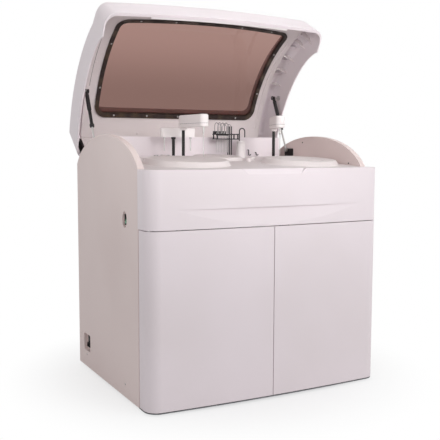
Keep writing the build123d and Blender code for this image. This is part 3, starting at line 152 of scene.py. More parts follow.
class Graph:
    """Node tree that is written node by node."""

    def __init__(self, tree: bpy.types.NodeTree) -> None:
        """Empties the tree to start afresh."""
        self.tree = tree
        self.tree.nodes.clear()

    def node(self, kind: str, settings: dict[str, Any] | None = None,
             sockets: dict[int | str, Value] | None = None, out: int | str = 0) -> Wire:
        """Adds a node of any type.

        Args:
            kind: Blender's type name of the node.
            settings: Its properties, set before its sockets because they can change them.
            sockets: A value or a wire for each input, by name or by place.
            out: The output that is wanted.

        Returns:
            That output.
        """
        made = self.tree.nodes.new(kind)
        for name, setting in (settings or {}).items():
            setattr(made, name, setting)
        for name, value in (sockets or {}).items():
            if isinstance(value, Wire):
                self.tree.links.new(value.socket, made.inputs[name])
            else:
                made.inputs[name].default_value = value
        return Wire(self, made.outputs[out])

    def place(self, stretch: Point = (1, 1, 1)) -> Wire:
        """Place on the piece in metres, stretched along its axes."""
        spot = self.node("ShaderNodeTexCoord", out="Object")
        return self.node("ShaderNodeVectorMath", {"operation": "MULTIPLY"}, {0: spot, 1: stretch})

    def axis(self, name: str) -> Wire:
        """One of the X, Y and Z of the place on the piece."""
        return self.node("ShaderNodeSeparateXYZ", sockets={0: self.place()}, out=name)

    def noise(self, scale: float, detail: float = 2.0, stretch: Point = (1, 1, 1)) -> Wire:
        """Soft noise between 0 and 1, in features per metre."""
        sockets = {"Vector": self.place(stretch), "Scale": scale, "Detail": detail}
        return self.node("ShaderNodeTexNoise", sockets=sockets)

    def cells(self, scale: float) -> Wire:
        """Even tone of each cell of a crystal pattern.

        Args:
            scale: Cells per metre.

        Returns:
            The tone, between 0 and 1.
        """
        sockets = {"Vector": self.place(), "Scale": scale}
        colour = self.node("ShaderNodeTexVoronoi", sockets=sockets, out="Color")
        return self.node("ShaderNodeSeparateXYZ", sockets={0: colour})

    def mix(self, share: Value, first: Wire | Rgb, second: Wire | Rgb) -> Wire:
        """Blend of two colours.

        Args:
            share: How much of the second one shows.
            first: Colour at 0.
            second: Colour at 1.

        Returns:
            The blended colour.
        """
        ends = [c if isinstance(c, Wire) else linear(c) for c in (first, second)]
        return self.node("ShaderNodeMix", {"data_type": "RGBA"}, {0: share, 6: ends[0], 7: ends[1]}, out=2)

    def bump(self, height: Wire, depth: float) -> Wire:
        """Normal of a relief that is depth metres high."""
        return self.node("ShaderNodeBump", sockets={"Height": height, "Distance": depth, "Strength": 1.0})

    def surface(self, sockets: dict[int | str, Value]) -> Wire:
        """Principled surface with these inputs."""
        return self.node("ShaderNodeBsdfPrincipled", sockets=sockets)

    def output(self, kind: str, shader: Wire) -> None:
        """Ends the tree in an output node of this kind."""
        end = self.tree.nodes.new(kind)
        self.tree.links.new(shader.socket, end.inputs["Surface"])


@dataclass(frozen=True)
class Finish:
    """A finish: the record's slot it stands for, its colour and the tone that it drifts to."""

    slot: str
    colour: Rgb
    shade: Rgb

    def shader(self, graph: Graph) -> Wire:
        """Surface of the finish, which each kind builds in its own way."""
        raise NotImplementedError

    def material(self) -> bpy.types.Material:
        """Makes the finish a material of its own.

        Returns:
            The material, named after the finish.
        """
        made = bpy.data.materials.new(f"{type(self).__name__}_{self.slot}")
        made.use_nodes = True
        graph = Graph(made.node_tree)
        graph.output("ShaderNodeOutputMaterial", self.shader(graph))
        return made


@dataclass(frozen=True)
class Coat(Finish):
    """Powder coat or moulded plastic: a drifting tone under a fine orange-peel grain."""

    roughness: float = 0.42
    shine: float = 0.35
    grain: float = 700.0
    relief: float = 0.00003
    drift: float = 2.2

    def shader(self, graph: Graph) -> Wire:
        """Varies tone, sheen and grain a little over the piece.

        Args:
            graph: The graph to build in.

        Returns:
            The coat's surface.
        """
        tone = graph.mix(graph.noise(self.drift).ease(0.35, 0.7), self.colour, self.shade)
        sheen = self.roughness + 0.1 * graph.noise(25.0)
        grain = graph.bump(graph.noise(self.grain, detail=1.0), self.relief)
        return graph.surface({"Base Color": tone, "Roughness": sheen, "Normal": grain,
                              "Specular IOR Level": self.shine})


@dataclass(frozen=True)
class Gasket(Finish):
    """Moulded rubber whose skin is glossier in random patches and painted lighter olive there as a painted
    highlight, with short ribs across it.
    """

    rib_pitch: float = 0.021
    rib_half: float = 0.0006
    relief: float = 0.0008

    def shader(self, graph: Graph) -> Wire:
        """Stands a rib at every pitch along X and, where the noise is high, makes the skin glossier and
        paints it lighter as a painted highlight.

        Args:
            graph: The graph to build in.

        Returns:
            The rubber's surface.
        """
        rib = graph.axis("X").cycle(self.rib_pitch).band(0.5, self.rib_half / self.rib_pitch, 0.02)
        gloss_and_painted_highlight = graph.noise(18.0, detail=4.0).ease(0.42, 0.66)
        # Painted highlight: the glossy patches also take the lighter olive colour.
        tone = graph.mix(gloss_and_painted_highlight, self.colour, self.shade)
        ribbed = graph.bump(rib + 0.3 * graph.noise(160.0), self.relief)
        return graph.surface({"Base Color": tone, "Roughness": 0.62 - 0.3 * gloss_and_painted_highlight, "Normal": ribbed,
                              "Coat Weight": 0.25 * gloss_and_painted_highlight, "Coat Roughness": 0.2})


@dataclass(frozen=True)
class SmokedGlass(Finish):
    """Brown glass with a painted highlight: lighter towards the top of the raised pane and darker towards
    its foot, with a faint smear of dust.
    """

    # Heights where the painted highlight ends and where it starts on the raised pane.
    top: float = 1.47
    foot: float = 1.20
    bend: float = 1.2

    def shader(self, graph: Graph) -> Wire:
        """Paints light by height on the raised lid: the brown tint lightens from the foot to the top as a
        painted highlight.

        Args:
            graph: The graph to build in.

        Returns:
            The pane's surface.
        """
        # Painted highlight: the tint is lighter above the top height than below the foot.
        tint_with_painted_highlight = graph.mix(graph.axis("Z").ease(self.foot, self.top), self.colour, self.shade)
        dust = 0.01 + 0.03 * graph.noise(9.0, detail=3.0).ease(0.4, 0.8)
        return graph.surface({"Base Color": tint_with_painted_highlight, "Roughness": dust, "Transmission Weight": 1.0,
                              "IOR": self.bend})


@dataclass(frozen=True)
class Steel(Finish):
    """Bare metal, brushed along one axis or left as rolled sheet with a dull crystal pattern."""

    brush: Point = (1.0, 1.0, 30.0)
    spangle: float = 0.0
    relief: float = 0.00002

    def shader(self, graph: Graph) -> Wire:
        """Runs fine scratches across the long side of the stretch.

        Args:
            graph: The graph to build in.

        Returns:
            The metal's surface.
        """
        scratch = graph.noise(90.0, detail=3.0, stretch=self.brush)
        share = graph.cells(self.spangle) if self.spangle else scratch
        tone = graph.mix(share, self.colour, self.shade)
        return graph.surface({"Base Color": tone, "Metallic": 1.0, "Roughness": 0.24 + 0.16 * scratch,
                              "Normal": graph.bump(scratch, self.relief)})


@dataclass(frozen=True)
class Milky(Finish):
    """Thin plastic that lets light through, darker where liquid stands behind it."""

    level: float = 0.29
    soft: float = 0.004

    def shader(self, graph: Graph) -> Wire:
        """Shows the liquid's surface as a soft edge at one height.

        Args:
            graph: The graph to build in.

        Returns:
            The bottle's surface.
        """
        dry = graph.axis("Z").ease(self.level - self.soft, self.level + self.soft)
        cloud = graph.mix(0.6 * dry + 0.4 * graph.noise(7.0), self.colour, self.shade)
        return graph.surface({"Base Color": cloud, "Roughness": 0.35 + 0.1 * graph.noise(60.0),
                              "Subsurface Weight": 0.3, "Subsurface Scale": 0.01})


@dataclass(frozen=True)
class ClearTube(Finish):
    """Clear hose with a slightly uneven wall."""

    def shader(self, graph: Graph) -> Wire:
        """Drifts the cloudiness along the hose.

        Args:
            graph: The graph to build in.

        Returns:
            The hose's surface.
        """
        cloud = graph.noise(40.0)
        tone = graph.mix(cloud, self.colour, self.shade)
        return graph.surface({"Base Color": tone, "Roughness": 0.08 + 0.2 * cloud,
                              "Transmission Weight": 0.55, "IOR": 1.3})


@dataclass(frozen=True)
class TwoTone(Finish):
    """Glossy rocker that is one colour above its pivot and another below."""

    pivot: float = 0.694
    edge: float = 0.0004

    def shader(self, graph: Graph) -> Wire:
        """Changes the colour in a sharp line at the pivot's height.

        Args:
            graph: The graph to build in.

        Returns:
            The rocker's surface.
        """
        upper = graph.axis("Z").ease(self.pivot - self.edge, self.pivot + self.edge)
        tone = graph.mix(upper, self.colour, self.shade)
        sheen = 0.22 + 0.12 * graph.noise(120.0)
        return graph.surface({"Base Color": tone, "Roughness": sheen, "Coat Weight": 0.3})


class Look(Enum):
    """The finishes of the analyzer, under the names that its parts use."""

    CABINET = Coat("cabinet_white", (229, 213, 210), (224, 207, 204))
    MOULDED = Coat("moulded_white", (232, 222, 226), (228, 218, 221), roughness=0.36)
    LINER = Coat("liner_grey", (222, 212, 212), (214, 204, 203), roughness=0.5)
    DECK = Coat("deck_white", (222, 213, 214), (215, 206, 206), roughness=0.4)
    COVER = Coat("cover_grey", (226, 217, 217), (220, 211, 210), roughness=0.38)
    ARM = Coat("arm_white", (238, 231, 231), (232, 225, 224), roughness=0.34)
    BLACK_STEEL = Coat("black_steel", (20, 15, 15), (30, 25, 24), roughness=0.42, grain=400.0)
    BLACK_PLASTIC = Coat("black_plastic", (34, 31, 33), (46, 42, 43), roughness=0.45, grain=1200.0)
    FOOT = Coat("foot_rubber", (44, 42, 42), (58, 55, 54), roughness=0.7, grain=300.0, relief=0.0001)
    CAP = Coat("cap_blue", (52, 88, 140), (44, 76, 124), roughness=0.4)
    VESSEL = Coat("vessel_plastic", (188, 192, 194), (170, 176, 180), roughness=0.3)
    # Rubber: the second colour is the lighter olive painted highlight on the glossy patches.
    GASKET = Gasket("gasket_black", (40, 27, 23), (66, 52, 38))
    # Smoked glass: the second colour is the lighter painted highlight at the top of the raised pane.
    GLASS = SmokedGlass("smoked_glass", (138, 108, 101), (168, 134, 126))
    BRIGHT_STEEL = Steel("bright_steel", (206, 203, 202), (176, 172, 170))
    ZINC = Steel("zinc_sheet", (168, 170, 172), (140, 143, 147), spangle=60.0)
    BOTTLE = Milky("bottle_plastic", (196, 204, 196), (226, 228, 222))
    TUBE = ClearTube("clear_tube", (226, 222, 222), (206, 200, 200))
    ROCKER = TwoTone("green_rocker", (38, 120, 74), (26, 26, 28))

    @property
    def made(self) -> bpy.types.Material:
        """The look's material, which is made once."""
        return material_of(self)

    @classmethod
    def of_slot(cls, slot: str) -> Look:
        """The look that stands for a slot of the record."""
        return next(look for look in cls if look.value.slot == slot)


@lru_cache(maxsize=None)
def material_of(look: Look) -> bpy.types.Material:
    """Makes a look's material the first time that it is asked for."""
    return look.value.material()


def turned_to(spot: Point | Vector, axis: Point | Vector) -> Matrix:
    """Placement with the origin at the spot and Z along the axis."""
    turn = Vector(axis).normalized().to_track_quat("Z", "Y").to_matrix().to_4x4()
    return Matrix.Translation(Vector(spot)) @ turn


@dataclass(frozen=True)
class Shape:
    """Points and faces that aren't a mesh yet, so they can be placed and joined."""

    points: tuple[Vector, ...] = ()
    faces: tuple[tuple[int, ...], ...] = ()

    def __add__(self, other: Shape) -> Shape:
        """Both shapes as one.

        Args:
            other: The shape whose points and faces come second.

        Returns:
            The joined shape.
        """
        shift = len(self.points)
        moved = tuple(tuple(i + shift for i in face) for face in other.faces)
        return Shape(self.points + other.points, self.faces + moved)

    def at(self, place: Matrix) -> Shape:
        """The shape moved by a placement."""
        return Shape(tuple(place @ p for p in self.points), self.faces)

    @classmethod
    def rings(cls, rings: Sequence[Sequence[Vector]], closed: bool = False) -> Shape:
        """Skins rings that have equally many points.

        Args:
            rings: The rings in order, each with its points in order.
            closed: True joins the last ring to the first one, and False caps both.

        Returns:
            The closed surface.
        """
        count, rows = len(rings[0]), len(rings)
        last = rows if closed else rows - 1
        faces = [
            (a * count + k, a * count + (k + 1) % count, b * count + (k + 1) % count, b * count + k)
            for a, b in ((row, (row + 1) % rows) for row in range(last))
            for k in range(count)
        ]
        if not closed:
            faces += [tuple(reversed(range(count))), tuple(range(count * (rows - 1), count * rows))]
        return cls(tuple(p for ring in rings for p in ring), tuple(faces))

    @classmethod
    def lathe(cls, profile: Sequence[tuple[float, float]], count: int = 28, closed: bool = False) -> Shape:
        """Turns a profile of radius and height about Z.

        Args:
            profile: Radius and height of each corner, from the bottom up.
            count: Corners of each ring.
            closed: True for a ring with a hole, whose profile comes back to its start.

        Returns:
            The turned shape.
        """
        ways = [(math.cos(math.tau * k / count), math.sin(math.tau * k / count)) for k in range(count)]
        return cls.rings([[Vector((r * c, r * s, z)) for c, s in ways] for r, z in profile], closed)

    @classmethod
    def tube(cls, path: Sequence[Point | Vector], radius: float, count: int = 12) -> Shape:
        """Round bar along a path.

        Args:
            path: Its corners, near enough together for the bends to look smooth.
            radius: Radius of the bar.
            count: Corners of its section.

        Returns:
            The bar with flat ends.
        """
        spots = [Vector(p) for p in path]
        ways = [(b - a).normalized() for a, b in zip(spots, spots[1:])]
        leans = [ways[0], *((a + b).normalized() for a, b in zip(ways, ways[1:])), ways[-1]]
        side = leans[0].orthogonal().normalized()
        rings = []
        for spot, lean in zip(spots, leans):
            side = (side - lean * side.dot(lean)).normalized()
            other = lean.cross(side)
            turns = (math.tau * k / count for k in range(count))
            rings.append([spot + radius * (math.cos(t) * side + math.sin(t) * other) for t in turns])
        return cls.rings(rings)

    @classmethod
    def slab(cls, outline: Sequence[tuple[float, float]], thick: float, edge: float) -> Shape:
        """Flat piece on the XY plane with a bevelled upper edge.

        Args:
            outline: Its corners, anticlockwise.
            thick: Its thickness along Z.
            edge: Width of the bevel.

        Returns:
            The bevelled piece.
        """
        corners = [Vector((x, y, 0)) for x, y in outline]
        inner = []
        for before, here, after in zip(corners[-1:] + corners[:-1], corners, corners[1:] + corners[:1]):
            way = (here - before).normalized() + (after - here).normalized()
            inner.append(here + edge * Vector((-way.y, way.x, 0)).normalized())
        raised = [c + Vector((0, 0, thick - edge)) for c in corners]
        return cls.rings([corners, raised, [c + Vector((0, 0, thick)) for c in inner]])


def rounded(width: float, height: float, radius: float, steps: int = 6) -> list[tuple[float, float]]:
    """Anticlockwise outline of a rectangle with round corners.

    Args:
        width: Size along X.
        height: Size along Y.
        radius: Radius of its corners.
        steps: Segments of each corner.

    Returns:
        Its corners.
    """
    x, y = width / 2 - radius, height / 2 - radius
    return [
        (cx + radius * math.cos(turn), cy + radius * math.sin(turn))
        for quarter, (cx, cy) in enumerate(((x, y), (-x, y), (-x, -y), (x, -y)))
        for turn in (math.tau / 4 * (quarter + k / steps) for k in range(steps + 1))
    ]


def arch(start: Vector, end: Vector, rise: float, steps: int = 14) -> Iterator[Vector]:
    """Corners of a loop that leaves and ends upright.

    Args:
        start: Where it begins.
        end: Where it ends.
        rise: Height of its straight legs.
        steps: Segments of its bend.

    Yields:
        The corners in order.
    """
    middle, half = (start + end) / 2, (end - start) / 2
    lift = Vector((0, 0, 1))
    yield start
    for k in range(steps + 1):
        turn = math.pi * k / steps
        yield middle - half * math.cos(turn) + lift * (rise + half.length * math.sin(turn))
    yield end


def screw_head(radius: float, height: float) -> Shape:
    """Domed head with a shallow hexagonal socket."""
    dome = [(radius, 0.0), (radius, 0.4 * height), (0.85 * radius, 0.8 * height), (0.55 * radius, height)]
    return Shape.lathe([*dome, (0.5 * radius, height), (0.46 * radius, 0.45 * height)], 24)


def piece(name: str, shape: Shape, look: Look, body: str, crease: float = 38.0) -> bpy.types.Object:
    """Makes a shape a piece of the analyzer.

    Args:
        name: Name of the piece.
        shape: Its surface, in the row frame.
        look: Its finish.
        body: The CAD body that it moves with.
        crease: Angle in degrees above which an edge stays sharp.

    Returns:
        The piece.
    """
    mesh = bpy.data.meshes.new(name)
    mesh.from_pydata([tuple(p) for p in shape.points], [], shape.faces)
    mesh.shade_smooth()
    mesh.set_sharp_from_angle(angle=math.radians(crease))
    mesh.materials.append(look.made)
    made = bpy.data.objects.new(name, mesh)
    bpy.context.scene.collection.objects.link(made)
    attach(made, body)
    log.info("%s: %d faces on %s", name, len(shape.faces), body)
    return made


def joined(shapes: Sequence[Shape]) -> Shape:
    """Several shapes as one."""
    return sum(shapes, Shape())


@dataclass(frozen=True)
class LidCurve:
    """Places on the inner face of the raised lid, by X and by the length of arc from the window's middle."""

    hinge_y: float = 0.2354
    hinge_z: float = 0.8416
    centre_back: float = -0.24578
    centre_up: float = -0.36379
    opened: float = math.radians(62)
    middle: float = math.radians(-13.85)
    liner_r: float = 0.650
    gasket_r: float = 0.644

    def spot(self, x: float, arc: float, radius: float) -> Vector:
        """Finds a place by its radius from the lid's own axis.

        Args:
            x: Place across the lid.
            arc: Length of arc from the window's middle, towards the rear.
            radius: Distance from the axis.

        Returns:
            The place, with the lid raised.
        """
        turn = self.middle + arc / self.gasket_r
        back, up = self.centre_back + radius * math.sin(turn), self.centre_up + radius * math.cos(turn)
        return self.raised(x, back, up)

    def raised(self, x: float, back: float, up: float) -> Vector:
        """Raises a place of the shut lid, given from the hinge axis."""
        cos, sin = math.cos(self.opened), math.sin(self.opened)
        return Vector((x, self.hinge_y + back * cos + up * sin, self.hinge_z - back * sin + up * cos))

    def on(self, x: float, arc: float, radius: float) -> Matrix:
        """Placement on that surface with Z pointing into the lid's hollow."""
        here = self.spot(x, arc, radius)
        return turned_to(here, self.spot(x, arc, radius - 0.1) - here)


@dataclass(frozen=True)
class Lid:
    """Screws of the window's gasket, caps of the liner, a black line that paints the shade of a groove in
    the liner, and ribs of the cheeks.
    """

    curve: LidCurve = LidCurve()
    rear_screws: tuple[float, ...] = (-0.318, -0.157, 0.0, 0.155, 0.312)
    rear_arc: float = 0.248
    front_screws: tuple[float, ...] = (-0.319, -0.167, 0.148, 0.305)
    front_arc: float = -0.286
    front_bow: float = 5.8
    side_x: float = 0.401
    side_arcs: tuple[float, ...] = (-0.113, 0.118)
    screw: tuple[float, float] = (0.0042, 0.0022)
    screw_lift: float = 0.0003
    caps: Profile = ((0.44, 0.005), (0.44, 0.154), (-0.44, -0.005), (-0.192, 0.334))
    cap: Profile = ((0.006, 0.0), (0.006, 0.0008), (0.0045, 0.0018), (0.0002, 0.002))
    cap_lift: float = 0.0002
    # The black line along the liner is painted shade of a groove: its X and its first and last arc.
    seam: tuple[float, float, float] = (-0.448, -0.176, 0.113)
    seam_r: float = 0.0007
    bead: tuple[float, float, float] = (0.437, -0.19, 0.305)
    bead_r: float = 0.0045
    bead_lift: float = 0.001
    ribs: Profile = ((-0.276, 0.594), (-0.215, 0.602), (-0.106, 0.612), (-0.025, 0.618), (0.058, 0.624))
    rib_inner: float = 0.463
    rib_outer: float = 0.5045
    rib_root: float = 0.655
    rib_low: float = 0.008
    rib_t: float = 0.0022

    def rib(self, side: int, arc: float, radius: float) -> Shape:
        """Makes a gusset between the liner's edge and the shell's cheek, cut back to a slope.

        Args:
            side: -1 for the left cheek and 1 for the right one.
            arc: Its place along the liner.
            radius: How near to the lid's axis it reaches on the cheek.

        Returns:
            The gusset.
        """
        corners = ((self.rib_inner, self.rib_root - self.rib_low), (self.rib_outer, radius),
                   (self.rib_outer, self.rib_root), (self.rib_inner, self.rib_root))
        shifts = (0.0, self.rib_t)[::-side]
        rings = [[self.curve.spot(side * x, arc + shift, reach) for x, reach in corners] for shift in shifts]
        return Shape.rings(rings)

    def along(self, x: float, first: float, last: float, radius: float) -> list[Vector]:
        """Path round the curve at one X, between two places by arc."""
        return [self.curve.spot(x, first + (last - first) * k / 24, radius) for k in range(25)]

    def build(self) -> None:
        """Makes the pieces that ride on the lid."""
        curve = self.curve
        spots = [(x, self.rear_arc) for x in self.rear_screws]
        spots += [(x, self.front_arc + x * x / self.front_bow) for x in self.front_screws]
        spots += [(side * self.side_x, arc) for side in (-1, 1) for arc in self.side_arcs]
        head, held = screw_head(*self.screw), curve.gasket_r + self.screw_lift
        heads = joined([head.at(curve.on(*spot, held)) for spot in spots])
        piece("gasket_screws", heads, Look.BRIGHT_STEEL, "lid")
        cap, held = Shape.lathe(self.cap), curve.liner_r + self.cap_lift
        piece("liner_caps", joined([cap.at(curve.on(*spot, held)) for spot in self.caps]), Look.LINER, "lid")
        for side, name in ((-1, "left"), (1, "right")):
            piece(f"{name}_lid_ribs", joined([self.rib(side, *rib) for rib in self.ribs]), Look.LINER, "lid")
        # A thin black tube on the liner paints the shade of a groove.
        seam = Shape.tube(self.along(*self.seam, curve.liner_r), self.seam_r, 8)
        piece("liner_groove_shade", seam, Look.BLACK_PLASTIC, "lid")
        bead = Shape.tube(self.along(*self.bead, curve.liner_r + self.bead_lift), self.bead_r)
        piece("liner_bead", bead, Look.LINER, "lid")


@dataclass(frozen=True)
class LidBrow:
    """Tall front wall over the lid's nose, which steps down at the window and runs out beside it.

    Its section is given from the hinge axis, with back below 0 towards the front.
    """

    curve: LidCurve = LidCurve()
    front: float = -0.7124
    inner_front: float = -0.7034
    foot: float = 0.0474
    nose_r: float = 0.050
    nose_up: float = 0.160
    nose_steps: int = 12
    nose_step: float = 6.0
    merge: float = -0.500
    window: float = 0.462
    window_back: float = -0.646
    window_step: Profile = (
        (0.25, 0.02), (0.45, 0.06), (0.62, 0.13), (0.76, 0.24),
        (0.87, 0.40), (0.94, 0.60), (0.98, 0.80), (1.0, 1.0))
    roof: tuple[float, float, float] = (-0.23878, -0.32879, 0.6500)
    shell_nose: tuple[float, float, float] = (-0.5744, 0.0684, 0.1300)
    half: float = 0.5102
    bow_r: float = 8.16
    bow: float = 0.013
    corner_x: float = 0.459
    corner_r: float = 0.051
    corner_blend: float = 0.003
    side_r: float = 0.045
    skin: float = 0.0015
    sink: float = 1.2

    def setback(self, x: float) -> float:
        """Finds how far the bowed front and its round corners lie behind the middle.

        Args:
            x: Place across the lid.

        Returns:
            The distance.
        """
        past = abs(x) - self.corner_x
        if past <= self.corner_blend:
            return self.bow_r - math.sqrt(self.bow_r**2 - x * x)
        return self.bow + self.corner_r - math.sqrt(max(self.corner_r**2 - past**2, 0.0))

    def shell_top(self, back: float) -> float:
        """Finds the height of the shell that the wall stands on.

        Args:
            back: Place behind the hinge axis.

        Returns:
            The height above that axis.
        """
        centre_back, centre_up, radius = self.roof
        nose_back, nose_up, nose_r = self.shell_nose
        if back < nose_back + nose_r * (nose_back - centre_back) / (radius - nose_r):
            return nose_up + math.sqrt(max(nose_r**2 - (back - nose_back) ** 2, 0.0))
        return centre_up + math.sqrt(radius**2 - (back - centre_back) ** 2)

    def outer(self, end: float, run: Sequence[tuple[float, float]]) -> list[tuple[float, float]]:
        """Draws the outer face from the foot, over the nose and down to the shell.

        Args:
            end: Where it meets the shell.
            run: Shares of the way back and down, after the nose.

        Returns:
            Its corners.
        """
        radius, nose_back = self.nose_r, self.front + self.nose_r
        turns = [math.radians(self.nose_step * k - 90) for k in range(self.nose_steps)]
        face = [(self.front, self.foot), (self.front, (self.foot + self.nose_up) / 2)]
        face += [(nose_back + radius * math.sin(t), self.nose_up + radius * math.cos(t)) for t in turns]
        back, up = face[-1]
        rise = self.shell_top(end) - up
        return face + [(back + (end - back) * share, up + rise * fall) for share, fall in run]

    def inner(self, end: float) -> list[tuple[float, float]]:
        """Draws the hidden face back to the foot, within the shell's skin."""
        backs = [self.inner_front + (end - self.inner_front) * (k / 12) ** 2 for k in range(12, -1, -1)]
        return [*((back, self.shell_top(back) - self.skin) for back in backs), (self.inner_front, self.foot)]

    def ring(self, x: float) -> list[Vector]:
        """Closes the section at one X, lowered towards the lid's round sides.

        Args:
            x: Place across the lid.

        Returns:
            Its corners, with the lid raised.
        """
        if abs(x) < self.window:
            end, run = self.window_back, self.window_step
        else:
            end, run = self.merge, [(k / 8, k / 8) for k in range(1, 9)]
        over = max(abs(x) - self.half + self.side_r, 0.0)
        drop = self.side_r - math.sqrt(max(self.side_r**2 - over**2, 0.0))
        face = self.outer(end, run)
        section = [(back, min(up, max(up, self.shell_top(back)) - drop)) for back, up in face]
        section += [(back, up - self.sink * drop) for back, up in self.inner(end)]
        shift = self.setback(x)
        return [self.curve.raised(x, back + shift, max(up, self.foot)) for back, up in section]

    def build(self) -> None:
        """Makes the wall as one piece that rides on the lid."""
        past, near = 0.0001, 0.001
        middle = [self.corner_x * k / 16 for k in range(-16, 17)]
        width = self.half - self.corner_x
        corner = [self.corner_x + width * math.sin(math.pi / 28 * k) for k in range(1, 15)]
        end = [self.window - past, self.window + past, *(x for x in corner if x > self.window + near)]
        stations = end[::-1] + middle[::-1] + [-x for x in end]
        piece("lid_brow", Shape.rings([self.ring(x) for x in stations]), Look.MOULDED, "lid", crease=50.0)


@dataclass(frozen=True)
class GasSprings:
    """End fittings and sleeves of both gas springs."""

    head: Point = (0.475, 0.3133, 1.2029)
    way: Point = (0.0, -0.4238, -0.9058)
    tube_length: float = 0.158
    foot: Point = (0.475, 0.195, 0.950)
    collar: Profile = ((0.0045, 0.0), (0.0098, 0.001), (0.0098, 0.013), (0.0045, 0.014))
    sleeve: Profile = ((0.0078, 0.004), (0.0088, 0.004), (0.0088, 0.075), (0.0078, 0.076))
    sleeve_start: float = 0.1
    clip: Profile = ((0.0045, -0.0015), (0.0095, -0.0015), (0.0095, 0.0015), (0.0045, 0.0015))
    clip_in: float = 0.0085
    pin: tuple[float, float] = (0.0045, 0.003)
    pin_in: float = 0.007

    def build(self) -> None:
        """Makes each side's fittings on the body that carries them."""
        collar, sleeve, clip = (Shape.lathe(p, closed=True) for p in (self.collar, self.sleeve, self.clip))
        for side, body in ((-1, "left"), (1, "right")):
            head = Vector((side * self.head[0], *self.head[1:]))
            foot = Vector((side * self.foot[0], *self.foot[1:]))
            end = head + self.tube_length * Vector(self.way)
            inner = head - Vector((side * self.clip_in, 0, 0))
            fittings = {
                "collar": collar.at(turned_to(end, self.way)),
                "sleeve": sleeve.at(turned_to(head.lerp(end, self.sleeve_start), self.way)),
                "clip": clip.at(turned_to(inner, (1, 0, 0))),
            }
            for name, shape in fittings.items():
                piece(f"{body}_{name}", shape, Look.BLACK_PLASTIC, f"{body}_tube")
            pin = turned_to(foot - Vector((side * self.pin_in, 0, 0)), (-side, 0, 0))
            piece(f"{body}_foot_pin", screw_head(*self.pin).at(pin), Look.BRIGHT_STEEL, f"{body}_rod")


@dataclass(frozen=True)
class Deck:
    """Small fittings that stand on the sloping work deck and hang on the splash wall."""

    front_y: float = -0.358
    front_z: float = 0.885
    slope: float = math.radians(3.7)
    knob_spot: tuple[float, float] = (0.160, -0.024)
    knob: Profile = (
        (0.010, 0.0), (0.010, 0.002), (0.0065, 0.003), (0.0065, 0.006), (0.0095, 0.008), (0.0095, 0.013),
        (0.008, 0.0145), (0.0002, 0.015))
    hooks: Profile = ((0.260, 0.024), (0.300, 0.012))
    hook_z: float = 0.927
    hook_wall: float = 0.191
    hook_depth: float = 0.009
    hook_bend: float = 0.003
    hook_flat: float = 0.009
    hook_reach: float = 0.011
    hook_tip: float = 0.004
    hook_r: float = 0.0022
    post_spots: Profile = ((-0.246, 0.104), (-0.228, 0.118), (-0.207, 0.121), (-0.179, 0.113))
    post: Profile = (
        (0.005, 0.0), (0.005, 0.002), (0.003, 0.003), (0.003, 0.012), (0.0052, 0.012), (0.0052, 0.015),
        (0.0025, 0.015), (0.0025, 0.013), (0.0002, 0.013))

    def on(self, x: float, y: float) -> Matrix:
        """Placement on the deck with Z square to it."""
        z = self.front_z + (y - self.front_y) * math.tan(self.slope)
        return turned_to((x, y, z), (0, -math.sin(self.slope), math.cos(self.slope)))

    def hook(self, x: float, height: float) -> Shape:
        """Bends a cable hook that leaves the wall, drops and turns up again.

        Args:
            x: Its place along the wall.
            height: How far it drops.

        Returns:
            The hook.
        """
        wall, low, bend = self.hook_wall, self.hook_z, self.hook_bend
        out, top = wall - self.hook_depth, low + height
        path = [(x, wall, top), (x, out + bend, top), (x, out, top - bend), (x, out, low + bend),
                (x + bend, out, low), (x + self.hook_flat, out, low),
                (x + self.hook_reach, out, low + self.hook_tip)]
        return Shape.tube(path, self.hook_r)

    def build(self) -> None:
        """Makes the knob, the hooks and the hose posts."""
        piece("deck_knob", Shape.lathe(self.knob).at(self.on(*self.knob_spot)), Look.ARM, "cabinet")
        hooks = joined([self.hook(*hook) for hook in self.hooks])
        piece("cable_hooks", hooks, Look.BLACK_PLASTIC, "cabinet")
        post = Shape.lathe(self.post, 20)
        posts = joined([post.at(self.on(*spot)) for spot in self.post_spots])
        piece("hose_posts", posts, Look.BRIGHT_STEEL, "cabinet")


@dataclass(frozen=True)
class Arm:
    """Parting line, collar and cover screws of one sampling arm."""

    name: str
    column: tuple[float, float]
    tip: tuple[float, float]
    half: float = 0.019
    low: float = 1.046
    high: float = 1.096
    seam_z: float = 1.060
    seam_r: float = 0.0005
    collar: Profile = ((0.0098, -0.012), (0.0128, -0.012), (0.0142, 0.0), (0.0098, 0.0))
    screw: tuple[float, float] = (0.003, 0.001)
    screw_shares: tuple[float, float] = (0.0, 0.94)

    def outline(self, radius: float, z: float) -> list[Vector]:
        """Draws a closed path round the housing, with round ends about the column and the needle.

        Args:
            radius: Radius of both ends.
            z: Its height.

        Returns:
            The path, which ends where it starts.
        """
        column, tip = Vector((*self.column, z)), Vector((*self.tip, z))
        way = (tip - column).normalized()
        side = Vector((way.y, -way.x, 0))
        turns = [math.pi * k / 12 for k in range(13)]
        ends = [tip + radius * (math.cos(t) * side + math.sin(t) * way) for t in turns]
        ends += [column - radius * (math.cos(t) * side + math.sin(t) * way) for t in turns]
        return [*ends, ends[0]]

    def build(self) -> None:
        """Makes the pieces that ride on the arm."""
        body, lift = f"{self.name}_arm", (0, 0, 1)
        seam = Shape.tube(self.outline(self.half, self.seam_z), self.seam_r, 6)
        piece(f"{body}_seam", seam, Look.BLACK_PLASTIC, body)
        collar = Shape.lathe(self.collar, closed=True).at(turned_to((*self.column, self.low), lift))
        piece(f"{body}_collar", collar, Look.ARM, body)
        column, tip = Vector((*self.column, self.high)), Vector((*self.tip, self.high))
        head = screw_head(*self.screw)
        screws = [head.at(turned_to(column.lerp(tip, share), lift)) for share in self.screw_shares]
        piece(f"{body}_screws", joined(screws), Look.BRIGHT_STEEL, body)


